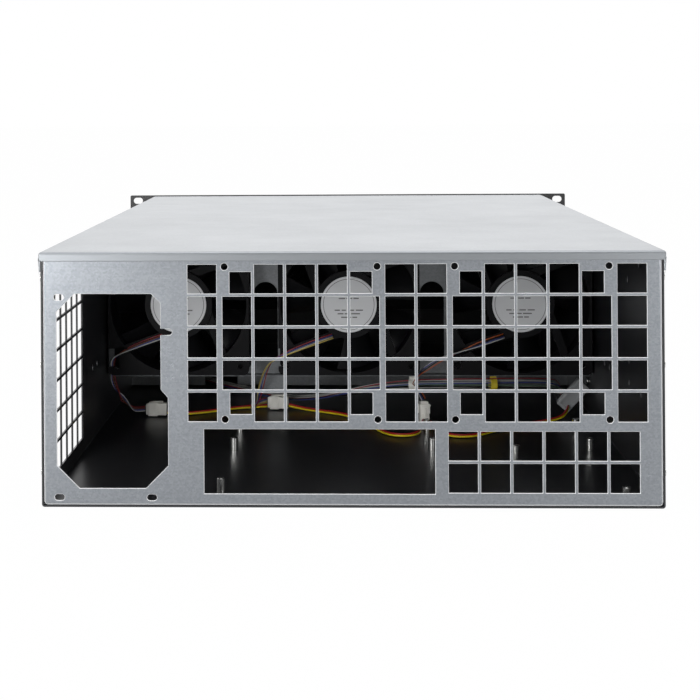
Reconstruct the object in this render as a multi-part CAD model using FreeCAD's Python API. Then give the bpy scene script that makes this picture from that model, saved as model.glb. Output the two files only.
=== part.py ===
"""An empty 4U rackmount server case, in millimetres.

The front faces -Y and the back faces +Y. The origin is the middle of the bounding box in X and Y,
and the underside of the floor in Z.
"""

import FreeCAD, Part
import math
import os

from FreeCAD import Placement, Rotation, Vector

os.makedirs("parts", exist_ok=True)

# Case
case_width = 430.0  # over the cover
case_height = 176.0  # to the top of the cover
case_depth = 650.0  # front face of the front panel to the back face of the rear panel
steel = 1.2  # sheet of the chassis, panels, cover and fan wall
bend = 0.8  # inside radius of a fold
slip = 0.1  # between the cover's sides and the chassis
fit = 0.3  # each side of a piece that drops in between two walls

# Front panel
panel_width = 482.6
panel_height = 177.0
panel_thickness = 2.0
ear_hole_spacing_x = 465.1
ear_hole_spacing_z = 165.1
ear_hole_length = 10.3
ear_hole_width = 6.8
vent_side_gap = 22.5  # vent field to the button board's edge
vent_top_gap = 26.8  # vent field to the cover's underside
vent_rows = 2
vent_slot_width = 5.0
vent_pitch = 11.0
vent_row_gap = 8.0
vent_bottom = 52.0

# Handles
handle_bar = 8.0
handle_reach = 38.0
handle_height = 120.0
handle_corner = 12.0

# Dust filter
filter_margin = 8.0  # past the vent slots
filter_thickness = 4.0
filter_steel = 1.0
filter_lip = 6.0  # of the frame, in front of and round the foam

# Buttons and their board
board_inset = 27.5  # side wall to the board's middle
board_width = 22.0
board_bottom = 80.0
board_top = 150.0
board_thickness = 1.6
board_gap = 14.0  # panel to board
pillar_inset = 4.5
switch_height = 5.5
switch_body = 4.0
power_z = 134.0
power_radius = 7.0
power_travel = 2.0
reset_z = 112.0
reset_radius = 3.0
reset_travel = 1.5
button_clearance = 0.3  # round a button and behind its stem
led_z = (99.0, 91.0)
led_radius = 2.5
board_plug_size = (14.0, 9.0, 10.0)
board_plug_z = 99.0

# Rear panel
panel_flange = 8.0
panel_corner = 3.0
cell = 20.0
bar = 2.0
wide_bar = 4.0
grid_side_gap = 10.5  # low-X wall to the grid
grid_top_gap = 7.8  # grid to the cover's underside
grid_rows = 5
grid_columns = (1, 5, 2, 5, 1)
corner_cut = 5.0  # taken off a corner cell beside a fan screw
fan_screw_hole = 4.9
io_offset = 149.95  # first standoff column to the low-X edge of the opening
io_width = 158.75
io_height = 44.45
io_bottom = 9.4
small_grid_side_gap = 15.9
small_grid_bottom = 10.3
small_grid_rows = 2
small_grid_columns = 6
psu_side_gap = 9.6  # high-X wall to the opening
psu_width = 77.0
psu_step_in = 4.9
psu_z = (13.0, 147.0)
psu_step_z = (75.4, 81.0)
psu_chamfers = (15.5, 12.4, 6.4)  # bottom corners, outer top corner, inner top corner
psu_screw_slots = ((1.6, 6.7), (65.6, 6.7), (1.6, 144.7), (76.7, 120.7))  # in from psu_x's high end, and up
psu_slot_length = 7.0
psu_slot_width = 4.3

# Cover
cover_side = 13.8
cover_lip = 6.5
lip_corner = 2.5

# Chassis
top_return = 10.0
front_return = 12.0
side_vent_cell = (21.0, 20.0)  # along the depth, and up
side_vent_end = 161.0  # back face to the vent's front end
side_vent_bottom = 12.5
side_vent_columns = 6
side_vent_rows = 6
wall_hole_radius = 2.5
wall_holes = ((209.0, 60.0), (232.0, 60.0))  # depth from the back, height; in both walls
bare_wall_holes = ((127.9, 141.3), (124.1, 80.3), (124.1, 63.3), (78.6, 63.1))
high_wall_hole = (83.6, 17.1)  # depth from the back, below the cover

# Fans
fan_size = 120.0
fan_thickness = 38.0
fan_side_share = 0.3  # gap beside an outer fan, as a share of the gap between two fans
fan_top_gap = 7.8
fan_back = 247.0  # back face of the case to the back face of the fans
fan_hole_inset = 7.5  # edge of a fan to its screw holes
fan_hole = 4.5
fan_corner = 5.0
duct_radius = 58.0
duct_wall = 2.0
flange_thickness = 4.0
base_radius = 28.7
base_thickness = 4.5
label_radius = 23.7
label_thickness = 0.3
strut_offset = 20.7  # axis to the strut's centre line
strut_angle = 19.45
strut_width = 7.0
strut_thickness = 4.5
shaft_radius = 1.5
shaft_fit = 0.05
bearing_radius = 5.0
hub_radius = 25.0
hub_wall = 2.0
magnet_radius = 20.5
stator_radius = 19.5
blades = 7
blade_tip_gap = 1.0
blade_thickness = 1.8
blade_sections = ((26.0, 50.0, 0.0), (35.0, 40.0, 3.0), (46.0, 28.0, 8.0))  # chord, pitch angle, sweep

# Fan wall
wall_foot = 5.0  # below the fans
wall_top_gap = 0.8
wall_rivet_spacing = 47.0
wall_side_flange = 20.0
wall_lip = 9.0
post_slot_margin = 2.0  # slot to the fans beside it
post_slot_height = 68.0
post_slot_drop = 19.0  # its middle, below the fans' axes
post_slot_corner = 4.5
tab_x = (56.8, 75.8)
tab_height = 16.3

# Cross rail
rail_back = 438.0  # back face of the case to the rail
rail_z = (3.7, 24.0)
rail_flange = 12.0
rail_notch_x = (108.0, 140.0)
rail_notch_top = 17.0

# Standoffs, at the usual motherboard pitches
standoff_height = 10.6
standoff_radius = 3.0
standoff_bore = 1.25
standoff_bore_start = 2.65  # above the floor
standoff_chamfer = 0.4
standoff_side_gap = 22.96  # low-X wall to the third column
standoff_second_column = 157.48
standoff_third_column = 281.94
standoff_first_y = 12.2
standoff_corner_step = 22.86
standoff_second_row = 154.94
standoff_third_row = 227.33
short_standoff_height = 5.4
short_standoff = (81.5, 165.5)  # from the low-X wall, depth from the back

# Fasteners
rivet_radius = 1.6
rivet_head = 3.0
rivet_head_height = 0.8
screw_radius = 2.0
screw_head = 3.6
screw_head_height = 2.2
screw_clearance = 0.1
cover_screw_radius = 1.5
cover_screw_head = 2.9
cover_screw_drop = 8.0
cover_screw_inset = 40.0
cover_screw_length = 4.0
high_fastener_drop = 16.8  # top rivets and front screws, below the cover
panel_rivet_z = (24.0, 98.0)
handle_screw_bite = 10.0
handle_bore = 12.0
wall_screw_place = (314.0, 30.0)  # depth from the back, height

# Leads
fan_lead_diameter = 3.2
supply_lead_diameter = 4.0
bundle_diameter = 8.0
lead_clearance = 0.4
tie_width = 5.5
tie_thickness = 1.0
fan_plug = (18.0, 9.0, 13.0)
supply_plug_size = (35.0, 9.0, 16.0)
bundle_plug_size = (16.0, 14.0, 10.0)
white_tie_x = -55.0
yellow_tie_x = -125.0

# Derived places
overall = handle_reach + case_depth + steel
back_y = overall / 2 - steel
front_y = back_y - case_depth
chassis_half = case_width / 2 - steel - slip
inner_half = chassis_half - steel
cover_under = case_height - steel
panel_back_y = front_y + panel_thickness
fan_back_y = back_y - fan_back
fan_front_y = fan_back_y - fan_thickness
wall_front_y = fan_front_y - steel
rail_y = back_y - rail_back
handle_x = case_width / 2 + screw_head
board_x = inner_half - board_inset
vent_half = board_x - board_width / 2 - vent_side_gap
vent_slots = int((2 * vent_half + vent_pitch - vent_slot_width) / vent_pitch)
vent_room = cover_under - vent_top_gap - vent_bottom - (vent_rows - 1) * vent_row_gap
vent_slot_height = vent_room / vent_rows
grid_height = grid_rows * (cell + bar) - bar
grid_bottom = cover_under - grid_top_gap - grid_height
rear_fan_z = grid_bottom + grid_height / 2
grid_width = sum(grid_columns) * (cell + bar) - bar + (len(grid_columns) - 1) * (wide_bar - bar)
grid_left = grid_side_gap + grid_width - inner_half
small_grid_x = small_grid_side_gap - inner_half
psu_x = (inner_half - psu_side_gap - psu_width, inner_half - psu_side_gap)
psu_step_x = psu_x[0] + psu_step_in
fan_gap = (2 * inner_half - 3 * fan_size) / (2 + 2 * fan_side_share)
fan_pitch = fan_size + fan_gap
fan_z = cover_under - fan_top_gap - fan_size / 2
wall_bottom = fan_z - fan_size / 2 - wall_foot
standoff_first_x = standoff_side_gap + standoff_third_column - inner_half
io_low_x = standoff_first_x - io_offset
fan_hole_spacing = fan_size - 2 * fan_hole_inset
pillar_z = (board_bottom + pillar_inset, board_top - pillar_inset)
fan_names = ("left", "middle", "right")
fan_x = (fan_pitch, 0.0, -fan_pitch)


def block(x, y, z):
    """A box from its low and high values along each axis."""
    return Part.makeBox(x[1] - x[0], y[1] - y[0], z[1] - z[0], Vector(x[0], y[0], z[0]))


def rod(start, end, radius):
    """A cylinder from one point to another."""
    axis = Vector(*end) - Vector(*start)
    return Part.makeCylinder(radius, axis.Length, Vector(*start), axis)


def prism(points, y):
    """An outline in X and Z, drawn along Y from the low to the high value."""
    corners = [Vector(px, y[0], pz) for px, pz in points]
    return Part.Face(Part.makePolygon(corners + corners[:1])).extrude(Vector(0, y[1] - y[0], 0))


def obround(x, y, z, length, width):
    """A slot cutter with round ends: its length lies along X, and it is drawn along Y."""
    half = (length - width) / 2
    ends = [rod((x + side * half, y[0], z), (x + side * half, y[1], z), width / 2) for side in (-1, 1)]
    return block((x - half, x + half), y, (z - width / 2, z + width / 2)).multiFuse(ends)


def joined(first, *others):
    """One solid from several that meet."""
    return first.multiFuse(list(others)).removeSplitter()


def less(solid, cutters):
    """A solid with every cutter taken out of it."""
    return solid.cut(Part.makeCompound(list(cutters)))


def folded_sheet(points, height):
    """A sheet bent along a path in X and Y, with the path on its right-hand face, drawn up along Z."""
    path = [Vector(px, py, 0) for px, py in points]
    ways = [(b - a).normalize() for a, b in zip(path, path[1:])]
    sides = [Vector(-way.y, way.x, 0) * steel for way in ways]
    inner = [path[0] + sides[0]]
    inner += [corner + a + b for corner, a, b in zip(path[1:-1], sides, sides[1:])]
    inner.append(path[-1] + sides[-1])
    outline = path + inner[::-1]
    sheet = Part.Face(Part.makePolygon(outline + outline[:1])).extrude(Vector(0, 0, height))
    for k in range(1, len(path) - 1):
        inside_first = ways[k - 1].cross(ways[k]).z > 0
        for corner, inside in ((path[k], not inside_first), (inner[k], inside_first)):
            radius = bend if inside else bend + steel
            edges = [e for e in sheet.Edges if upright_at(e, corner)]
            sheet = sheet.makeFillet(radius, edges)
    return sheet


def upright_at(edge, corner):
    """Whether an edge is the upright one over a corner."""
    return all(math.hypot(v.X - corner.x, v.Y - corner.y) < 0.001 for v in edge.Vertexes)


def along_depth(shape, far_y):
    """Turn a shape that was drawn up along Z so that it runs from far_y towards the front."""
    turned = shape.copy()
    turned.Placement = Placement(Vector(0, far_y, 0), Rotation(Vector(1, 0, 0), 90))
    return turned


def arc_at(before, corner, after):
    """The arc that rounds a corner of a route: its start, middle, end and radius."""
    back, ahead = before - corner, after - corner
    half_turn = (math.pi - back.getAngle(ahead)) / 2
    reach = 0.45 * min(back.Length, ahead.Length)
    radius = reach / math.tan(half_turn)
    back, ahead = back.normalize(), ahead.normalize()
    middle = corner + (back + ahead).normalize() * (radius / math.cos(half_turn) - radius)
    return corner + back * reach, middle, corner + ahead * reach, radius


def tube(points, diameter, name):
    """A round tube along straight runs, with an arc at each point that its two runs leave room for."""
    route = [Vector(*point) for point in points]
    edges, radii = [], []
    here = route[0]
    for before, corner, after in zip(route, route[1:], route[2:]):
        into, middle, out, radius = arc_at(before, corner, after)
        edges += [Part.LineSegment(here, into).toShape(), Part.Arc(into, middle, out).toShape()]
        radii.append(radius)
        here = out
    edges.append(Part.LineSegment(here, route[-1]).toShape())
    path = Part.Wire(edges)
    ring = Part.Wire(Part.Circle(route[0], route[1] - route[0], diameter / 2).toShape())
    solid = path.makePipeShell([ring], True, False)
    share = solid.Volume / (path.Length * math.pi * diameter**2 / 4)
    print(f"{name}: {path.Length:.0f} mm, volume share {share:.3f}, radii", [round(r) for r in radii])
    return solid


def screw(start, way, length):
    """A pan-head screw: the head stands on start, and the shank runs from there along way."""
    way = Vector(*way)
    head = Part.makeCylinder(screw_head, screw_head_height, Vector(*start) - way * screw_head_height, way)
    rim = [e for e in head.Edges if e.Closed and (e.CenterOfMass - Vector(*start)).Length > 1]
    head = head.makeFillet(screw_head_height * 0.45, rim)
    shank = Part.makeCylinder(screw_radius, length, Vector(*start), way)
    return joined(head, shank)


def side_rivet(y, z, side):
    """A blind rivet through a chassis side wall and a flange behind it, with a low head on each face."""
    outer, inner = side * chassis_half, side * (inner_half - fit - steel)
    body = rod((outer, y, z), (inner, y, z), rivet_radius)
    head = rod((outer, y, z), (outer + side * rivet_head_height, y, z), rivet_head)
    tail = rod((inner, y, z), (inner - side * rivet_head_height, y, z), rivet_head)
    return joined(body, head, tail)


def side_hole(y, z, side, radius):
    """A cutter for a round hole through a side wall and the flange inside it."""
    return rod((side * (chassis_half + 1), y, z), (side * (inner_half - 3 * steel), y, z), radius)


high_fastener_z = cover_under - high_fastener_drop
wall_rivets = [(wall_front_y - wall_side_flange / 2, fan_z + k * wall_rivet_spacing) for k in (-1, 0, 1)]
panel_rivets = [(back_y - panel_flange / 2 - 0.5, dz) for dz in (*panel_rivet_z, high_fastener_z)]
rail_rivets = [(rail_y - rail_flange / 2 - steel / 2, (rail_z[0] + rail_z[1]) / 2)]
cover_screws_y = [
    front_y + cover_screw_inset,
    (front_y + back_y) / 2,
    back_y - cover_screw_inset,
]
cover_screw_z = case_height - cover_screw_drop
front_screw_x = chassis_half - front_return / 2
front_screw_z = (22.0, 88.0, high_fastener_z)


def chassis_base():
    """Floor, side walls, top returns and front returns, folded from one sheet."""
    length = case_depth - panel_thickness
    half, top = chassis_half, cover_under
    profile = [
        (-half + top_return, top),
        (-half, top),
        (-half, 0),
        (half, 0),
        (half, top),
        (half - top_return, top),
    ]
    shell = along_depth(folded_sheet(profile, length), back_y)
    front = (panel_back_y, panel_back_y + steel)
    returns = [
        block((-half, -half + front_return), front, (steel, top - steel)),
        block((half - front_return, half), front, (steel, top - steel)),
        block((-half + front_return, half - front_return), front, (steel / 2, front_return)),
    ]
    shell = joined(shell, *returns)
    cutters = []
    step_y, step_z = side_vent_cell[0] + bar, side_vent_cell[1] + bar
    for column in range(side_vent_columns):
        near = back_y - side_vent_end + column * step_y
        for row in range(side_vent_rows):
            low = side_vent_bottom + row * step_z
            opening = (near, near + side_vent_cell[0])
            cutters.append(block((inner_half - 1, half + 1), opening, (low, low + side_vent_cell[1])))
    for side in (-1, 1):
        places = list(wall_holes)
        if side < 0:
            places += [*bare_wall_holes, (high_wall_hole[0], cover_under - high_wall_hole[1])]
        cutters += [side_hole(back_y - depth, z, side, wall_hole_radius) for depth, z in places]
        riveted = wall_rivets + panel_rivets + rail_rivets
        cutters += [side_hole(y, z, side, rivet_radius) for y, z in riveted]
        cutters += [side_hole(y, cover_screw_z, side, cover_screw_radius) for y in cover_screws_y]
        for z in front_screw_z:
            x = side * front_screw_x
            cutters.append(rod((x, front[0] - 1, z), (x, front[1] + 1, z), screw_radius + screw_clearance))
    depth, z = wall_screw_place
    cutters.append(side_hole(back_y - depth, z, -1, screw_radius + screw_clearance))
    behind = (back_y - panel_flange - fit, back_y + 1)
    cutters.append(block((-inner_half, inner_half), behind, (top - 2 * steel, top + 1)))
    return less(shell, cutters)


def grid_cutters(y):
    """Square openings of the rear panel: the main grid, with short corner cells beside the fan screws."""
    cutters = []
    high_x = grid_left
    for columns in grid_columns:
        for column in range(columns):
            right = high_x - cell
            for row in range(grid_rows):
                low = grid_bottom + row * (cell + bar)
                x, z = [right, high_x], [low, low + cell]
                if columns == 5 and column in (0, 4) and row in (0, grid_rows - 1):
                    x[1 if column == 0 else 0] += -corner_cut if column == 0 else corner_cut
                    z[0 if row == 0 else 1] += corner_cut if row == 0 else -corner_cut
                cutters.append(block(x, y, z))
            high_x = right - bar
        high_x -= wide_bar - bar
    for column in range(small_grid_columns):
        low_x = small_grid_x + column * (cell + bar)
        for row in range(small_grid_rows):
            low = small_grid_bottom + row * (cell + bar)
            cutters.append(block((low_x, low_x + cell), y, (low, low + cell)))
    return cutters


def rear_fan_centres():
    """X of the two fan places in the rear grid."""
    group = 5 * cell + 4 * bar
    first = grid_left - cell - wide_bar - group / 2
    second = first - group - 2 * wide_bar - 2 * cell - bar
    return first, second


def rear_panel():
    """Back plate with a flange folded forward along each side."""
    x, z = (-inner_half, inner_half), (steel, cover_under)
    plate = block(x, (back_y - panel_flange, back_y), z)
    corners = [e for e in plate.Edges if e.BoundBox.YLength > 1]
    plate = plate.makeFillet(panel_corner, corners)
    rim = [e for e in plate.Edges if e.BoundBox.YMin > back_y - 0.001]
    plate = plate.makeFillet(bend + steel, rim)
    flange_y = back_y - panel_flange - 1
    hollow = block((x[0] + steel, x[1] - steel), (flange_y, back_y - steel), (z[0] + steel, z[1] - steel))
    cut = (back_y - steel - 1, back_y + 1)
    cutters = [hollow] + grid_cutters(cut)
    relief = 3 * steel
    for side_x in x:
        for side_z in z:
            corner_x, corner_z = (side_x - relief, side_x + relief), (side_z - relief, side_z + relief)
            cutters.append(block(corner_x, (flange_y, back_y - steel - bend), corner_z))
    for centre in rear_fan_centres():
        for dx in (-fan_hole_spacing / 2, fan_hole_spacing / 2):
            for dz in (-fan_hole_spacing / 2, fan_hole_spacing / 2):
                start, end = (centre + dx, cut[0], rear_fan_z + dz), (centre + dx, cut[1], rear_fan_z + dz)
                cutters.append(rod(start, end, fan_screw_hole / 2))
    cutters.append(block((io_low_x, io_low_x + io_width), cut, (io_bottom, io_bottom + io_height)))
    low, outer, inner = psu_chamfers
    step = psu_step_z[1] - psu_step_z[0]
    outline = [
        (psu_x[0] + low, psu_z[0]),
        (psu_x[1] - low, psu_z[0]),
        (psu_x[1], psu_z[0] + low),
        (psu_x[1], psu_z[1] - outer),
        (psu_x[1] - outer, psu_z[1]),
        (psu_step_x + inner, psu_z[1]),
        (psu_step_x, psu_z[1] - inner),
        (psu_step_x, psu_step_z[1]),
        (psu_x[0], psu_step_z[1] - step),
        (psu_x[0], psu_z[0] + low),
    ]
    cutters.append(prism(outline, cut))
    for across, up in psu_screw_slots:
        cutters.append(obround(psu_x[1] - across, cut, up, psu_slot_length, psu_slot_width))
    for side in (-1, 1):
        cutters += [side_hole(y, z_, side, rivet_radius) for y, z_ in panel_rivets]
    return less(plate, cutters)


def top_cover():
    """Flat top with a flange down each side and a lip over the back panel's top edge."""
    half = case_width / 2
    y = (front_y + panel_thickness, back_y + steel)
    shell = block((-half, half), y, (case_height - cover_side, case_height))
    rim = [e for e in shell.Edges if e.BoundBox.ZMin > case_height - 0.001 and e.BoundBox.YMax > y[0] + 1]
    shell = shell.makeFillet(bend + steel, rim)
    inside = (-half + steel, half - steel)
    under = (case_height - cover_side - 1, cover_under)
    cutters = [
        block(inside, (y[0] - 1, y[1] - steel), under),
        block((-half - 1, half + 1), (back_y, y[1] + 1), (under[0], case_height - cover_lip)),
    ]
    for side in (-1, 1):
        for screw_y in cover_screws_y:
            outer, inner = side * half, side * (half - steel)
            sink = Part.makeCone(
                cover_screw_head + screw_clearance,
                cover_screw_radius + screw_clearance,
                steel,
                Vector(outer, screw_y, cover_screw_z),
                Vector(inner - outer, 0, 0),
            )
            cutters.append(sink)
        corner_x, corner_z = side * (half - lip_corner), case_height - cover_lip + lip_corner
        behind = (back_y, y[1] + 1)
        corner = block(sorted((corner_x, side * (half + 1))), behind, (under[0], corner_z))
        round_end = rod((corner_x, behind[0], corner_z), (corner_x, behind[1], corner_z), lip_corner)
        cutters.append(corner.cut(round_end))
    return less(shell, cutters)


def front_panel():
    """Thick front plate with rack ears, air slots and holes for the buttons and lights."""
    y = (front_y, panel_back_y)
    plate = block((-panel_width / 2, panel_width / 2), y, (0, panel_height))
    corners = [e for e in plate.Edges if e.BoundBox.YLength > panel_thickness / 2]
    plate = plate.makeFillet(1.5, corners)
    cut = (y[0] - 1, y[1] + 1)
    cutters = []
    for side_x in (-1, 1):
        for side_z in (-1, 1):
            place = side_x * ear_hole_spacing_x / 2, panel_height / 2 + side_z * ear_hole_spacing_z / 2
            cutters.append(obround(place[0], cut, place[1], ear_hole_length, ear_hole_width))
        for z in handle_ends():
            place = side_x * handle_x
            cutters.append(rod((place, cut[0], z), (place, cut[1], z), screw_radius + screw_clearance))
        for z in front_screw_z:
            place = side_x * front_screw_x
            cutters.append(rod((place, cut[0], z), (place, cut[1], z), screw_radius + screw_clearance))
    for k in range(vent_slots):
        middle = (k - (vent_slots - 1) / 2) * vent_pitch
        for row in range(vent_rows):
            low = vent_bottom + row * (vent_slot_height + vent_row_gap)
            x = (middle - vent_slot_width / 2, middle + vent_slot_width / 2)
            cutters.append(block(x, cut, (low, low + vent_slot_height)))
    holes = [(power_z, power_radius + button_clearance), (reset_z, reset_radius + button_clearance)]
    holes += [(z, led_radius + screw_clearance) for z in led_z]
    cutters += [rod((board_x, cut[0], z), (board_x, cut[1], z), radius) for z, radius in holes]
    return less(plate, cutters)


def handle_ends():
    """Heights of a handle's two feet."""
    return (panel_height - handle_height) / 2, (panel_height + handle_height) / 2


def handle(side):
    """A bent round bar, its feet on the front panel and drilled for a screw."""
    low, high = handle_ends()
    x, far, r = side * handle_x, front_y - handle_reach + handle_bar / 2, handle_corner
    shift = r * (1 - math.sqrt(0.5))
    start, end = Vector(x, front_y, low), Vector(x, front_y, high)
    lower = Vector(x, far + r, low), Vector(x, far + shift, low + shift), Vector(x, far, low + r)
    upper = Vector(x, far, high - r), Vector(x, far + shift, high - shift), Vector(x, far + r, high)
    path = Part.Wire(
        [
            Part.LineSegment(start, lower[0]).toShape(),
            Part.Arc(*lower).toShape(),
            Part.LineSegment(lower[2], upper[0]).toShape(),
            Part.Arc(*upper).toShape(),
            Part.LineSegment(upper[2], end).toShape(),
        ]
    )
    ring = Part.Wire(Part.Circle(start, Vector(0, -1, 0), handle_bar / 2).toShape())
    bar_solid = path.makePipeShell([ring], True, False)
    bore_end, radius = front_y - handle_bore, screw_radius + screw_clearance
    bores = [rod((x, front_y, z), (x, bore_end, z), radius) for z in (low, high)]
    return less(bar_solid, bores)


def vent_extent():
    """Low and high corners of the vent field, in X and Z."""
    half = ((vent_slots - 1) * vent_pitch + vent_slot_width) / 2
    top = vent_bottom + vent_rows * vent_slot_height + (vent_rows - 1) * vent_row_gap
    return (-half, half), (vent_bottom, top)


def dust_filter():
    """Foam mat behind the air slots."""
    x, z = vent_extent()
    m = filter_margin
    return block((x[0] - m, x[1] + m), (panel_back_y, panel_back_y + filter_thickness), (z[0] - m, z[1] + m))


def filter_frame():
    """Folded frame that holds the foam against the panel."""
    x, z = vent_extent()
    m, lip = filter_margin + fit, filter_lip
    depth = filter_thickness + fit
    y = (panel_back_y, panel_back_y + depth + filter_steel)
    s, edge = filter_steel, m + lip
    brim = block((x[0] - edge, x[1] + edge), (y[0], y[0] + s), (z[0] - edge, z[1] + edge))
    tray = block((x[0] - m - s, x[1] + m + s), y, (z[0] - m - s, z[1] + m + s))
    pocket = block((x[0] - m, x[1] + m), (y[0] - 1, y[0] + depth), (z[0] - m, z[1] + m))
    inset = lip - filter_margin
    window = block((x[0] + inset, x[1] - inset), (y[0] - 1, y[1] + 1), (z[0] + inset, z[1] - inset))
    return joined(brim, tray).cut(pocket).cut(window)


def button(z, radius, travel):
    """Cap, collar behind the panel, and stem towards the switch."""
    proud = travel + 0.5
    cap = rod((board_x, front_y - proud, z), (board_x, panel_back_y + 0.5, z), radius)
    face = [e for e in cap.Edges if e.Closed and abs(e.BoundBox.YMax - (front_y - proud)) < 0.001]
    cap = cap.makeFillet(0.4, face)
    collar = rod((board_x, panel_back_y, z), (board_x, panel_back_y + 1.5, z), radius + 1.5)
    stem_end = panel_back_y + board_gap - switch_height - travel - button_clearance
    stem = rod((board_x, panel_back_y, z), (board_x, stem_end, z), 2.0)
    return joined(cap, collar, stem)


def tact_switches():
    """Two small square switches with a round plunger each."""
    board_front = panel_back_y + board_gap
    solids = []
    for z in (power_z, reset_z):
        body = block((board_x - 3, board_x + 3), (board_front - switch_body, board_front), (z - 3, z + 3))
        plunger = rod((board_x, board_front - switch_height, z), (board_x, board_front - switch_body, z), 1.7)
        solids.append(joined(body, plunger))
    return Part.makeCompound(solids)


def indicator_leds():
    """Two 5 mm lights on the board, reaching into the panel."""
    board_front = panel_back_y + board_gap
    solids = []
    for z in led_z:
        dome = Part.makeSphere(led_radius, Vector(board_x, front_y + led_radius, z))
        body = rod((board_x, front_y + led_radius, z), (board_x, board_front, z), led_radius)
        solids.append(joined(dome, body))
    return Part.makeCompound(solids)


def front_board():
    """Circuit board behind the buttons, with two screw holes."""
    y = (panel_back_y + board_gap, panel_back_y + board_gap + board_thickness)
    plate = block((board_x - board_width / 2, board_x + board_width / 2), y, (board_bottom, board_top))
    return less(plate, [rod((board_x, y[0] - 1, z), (board_x, y[1] + 1, z), screw_radius) for z in pillar_z])


def board_pillars():
    """Two pillars from the panel to the board, each with a threaded end through it."""
    y = (panel_back_y, panel_back_y + board_gap)
    solids = []
    for z in pillar_z:
        pillar = rod((board_x, y[0], z), (board_x, y[1], z), 3.0)
        end = (board_x, y[1] + board_thickness + 2, z)
        stud = rod((board_x, y[1], z), end, screw_radius - screw_clearance)
        solids.append(joined(pillar, stud))
    return Part.makeCompound(solids)


def board_plug():
    """Plug on the back of the button board, where the wires of the front bundle start."""
    y = panel_back_y + board_gap + board_thickness
    width, depth, height = board_plug_size
    x, z = (board_x - width / 2, board_x + width / 2), (board_plug_z - height / 2, board_plug_z + height / 2)
    return block(x, (y, y + depth), z)


def fan_frame():
    """Fan housing with its axis on Y and its back face at Y = 0: flanges, duct, struts and motor base."""
    half = fan_size / 2
    flange_y = [(-flange_thickness, 0), (-fan_thickness, flange_thickness - fan_thickness)]
    flanges = []
    for y in flange_y:
        plate = block((-half, half), y, (-half, half))
        uprights = [e for e in plate.Edges if e.BoundBox.YLength > flange_thickness / 2]
        flanges.append(plate.makeFillet(fan_corner, uprights))
    barrel = rod((0, -fan_thickness, 0), (0, 0, 0), duct_radius + duct_wall)
    body = joined(barrel, *flanges)
    body = body.cut(rod((0, 1, 0), (0, -fan_thickness - 1, 0), duct_radius))
    base = rod((0, -label_thickness - 0.2, 0), (0, -label_thickness - 0.2 - base_thickness, 0), base_radius)
    base = base.cut(rod((0, 1, 0), (0, -2 * label_thickness - 0.2, 0), label_radius + 0.2))
    strut_y = (-lead_groove() - strut_thickness, -lead_groove())
    struts = []
    for quarter in range(4):
        strut = block(
            (strut_offset / 2, duct_radius),
            strut_y,
            (-strut_offset - strut_width / 2, -strut_offset + strut_width / 2),
        )
        strut.rotate(Vector(0, 0, 0), Vector(0, 1, 0), strut_angle + 90 * quarter)
        struts.append(strut.common(rod((0, 0, 0), (0, -fan_thickness, 0), duct_radius + duct_wall / 2)))
    bearing = rod((0, -base_thickness, 0), (0, -fan_thickness * 0.6, 0), bearing_radius)
    body = joined(body, base, bearing, *struts)
    corners = [(sx * fan_hole_spacing / 2, sz * fan_hole_spacing / 2) for sx in (-1, 1) for sz in (-1, 1)]
    cutters = [rod((x, 1, z), (x, -fan_thickness - 1, z), fan_hole / 2) for x, z in corners]
    bore = shaft_radius + shaft_fit
    cutters.append(rod((0, -2 * label_thickness - 0.6, 0), (0, -fan_thickness, 0), bore))
    groove = block(
        (duct_radius * 0.75, half + 12),
        (-lead_groove(), 1),
        (-strut_offset - fan_lead_diameter, -strut_offset + fan_lead_diameter),
    )
    groove.rotate(Vector(0, 0, 0), Vector(0, 1, 0), strut_angle)
    gate = block((half - 9, half + 1), (-lead_groove() - 1, 1), (-half * 0.88, -half * 0.62))
    return less(body, cutters + [groove, gate])


def lead_groove():
    """Depth of the fan's lead groove, from its back face."""
    return fan_lead_diameter + 2 * lead_clearance


def fan_label():
    """Round label in the recess of the motor base."""
    y = -2 * label_thickness - 0.2
    return rod((0, y, 0), (0, y + label_thickness, 0), label_radius)


def blade_section(radius, chord, pitch, sweep):
    """Thin cambered blade outline on a plane square to X at this radius."""
    c, s = math.cos(math.radians(pitch)), math.sin(math.radians(pitch))
    middle_y = -fan_thickness * 0.59

    def place(along, across):
        return Vector(radius, middle_y + along * s + across * c, sweep + along * c - across * s)

    half, t, camber = chord / 2, blade_thickness / 2, chord * 0.09
    top = Part.Arc(place(-half, t * 0.4), place(0, camber + t), place(half, t * 0.4)).toShape()
    tip = Part.LineSegment(place(half, t * 0.4), place(half, -t * 0.4)).toShape()
    under = Part.Arc(place(half, -t * 0.4), place(0, camber - t), place(-half, -t * 0.4)).toShape()
    tail = Part.LineSegment(place(-half, -t * 0.4), place(-half, t * 0.4)).toShape()
    return Part.Wire([top, tip, under, tail])


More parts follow.
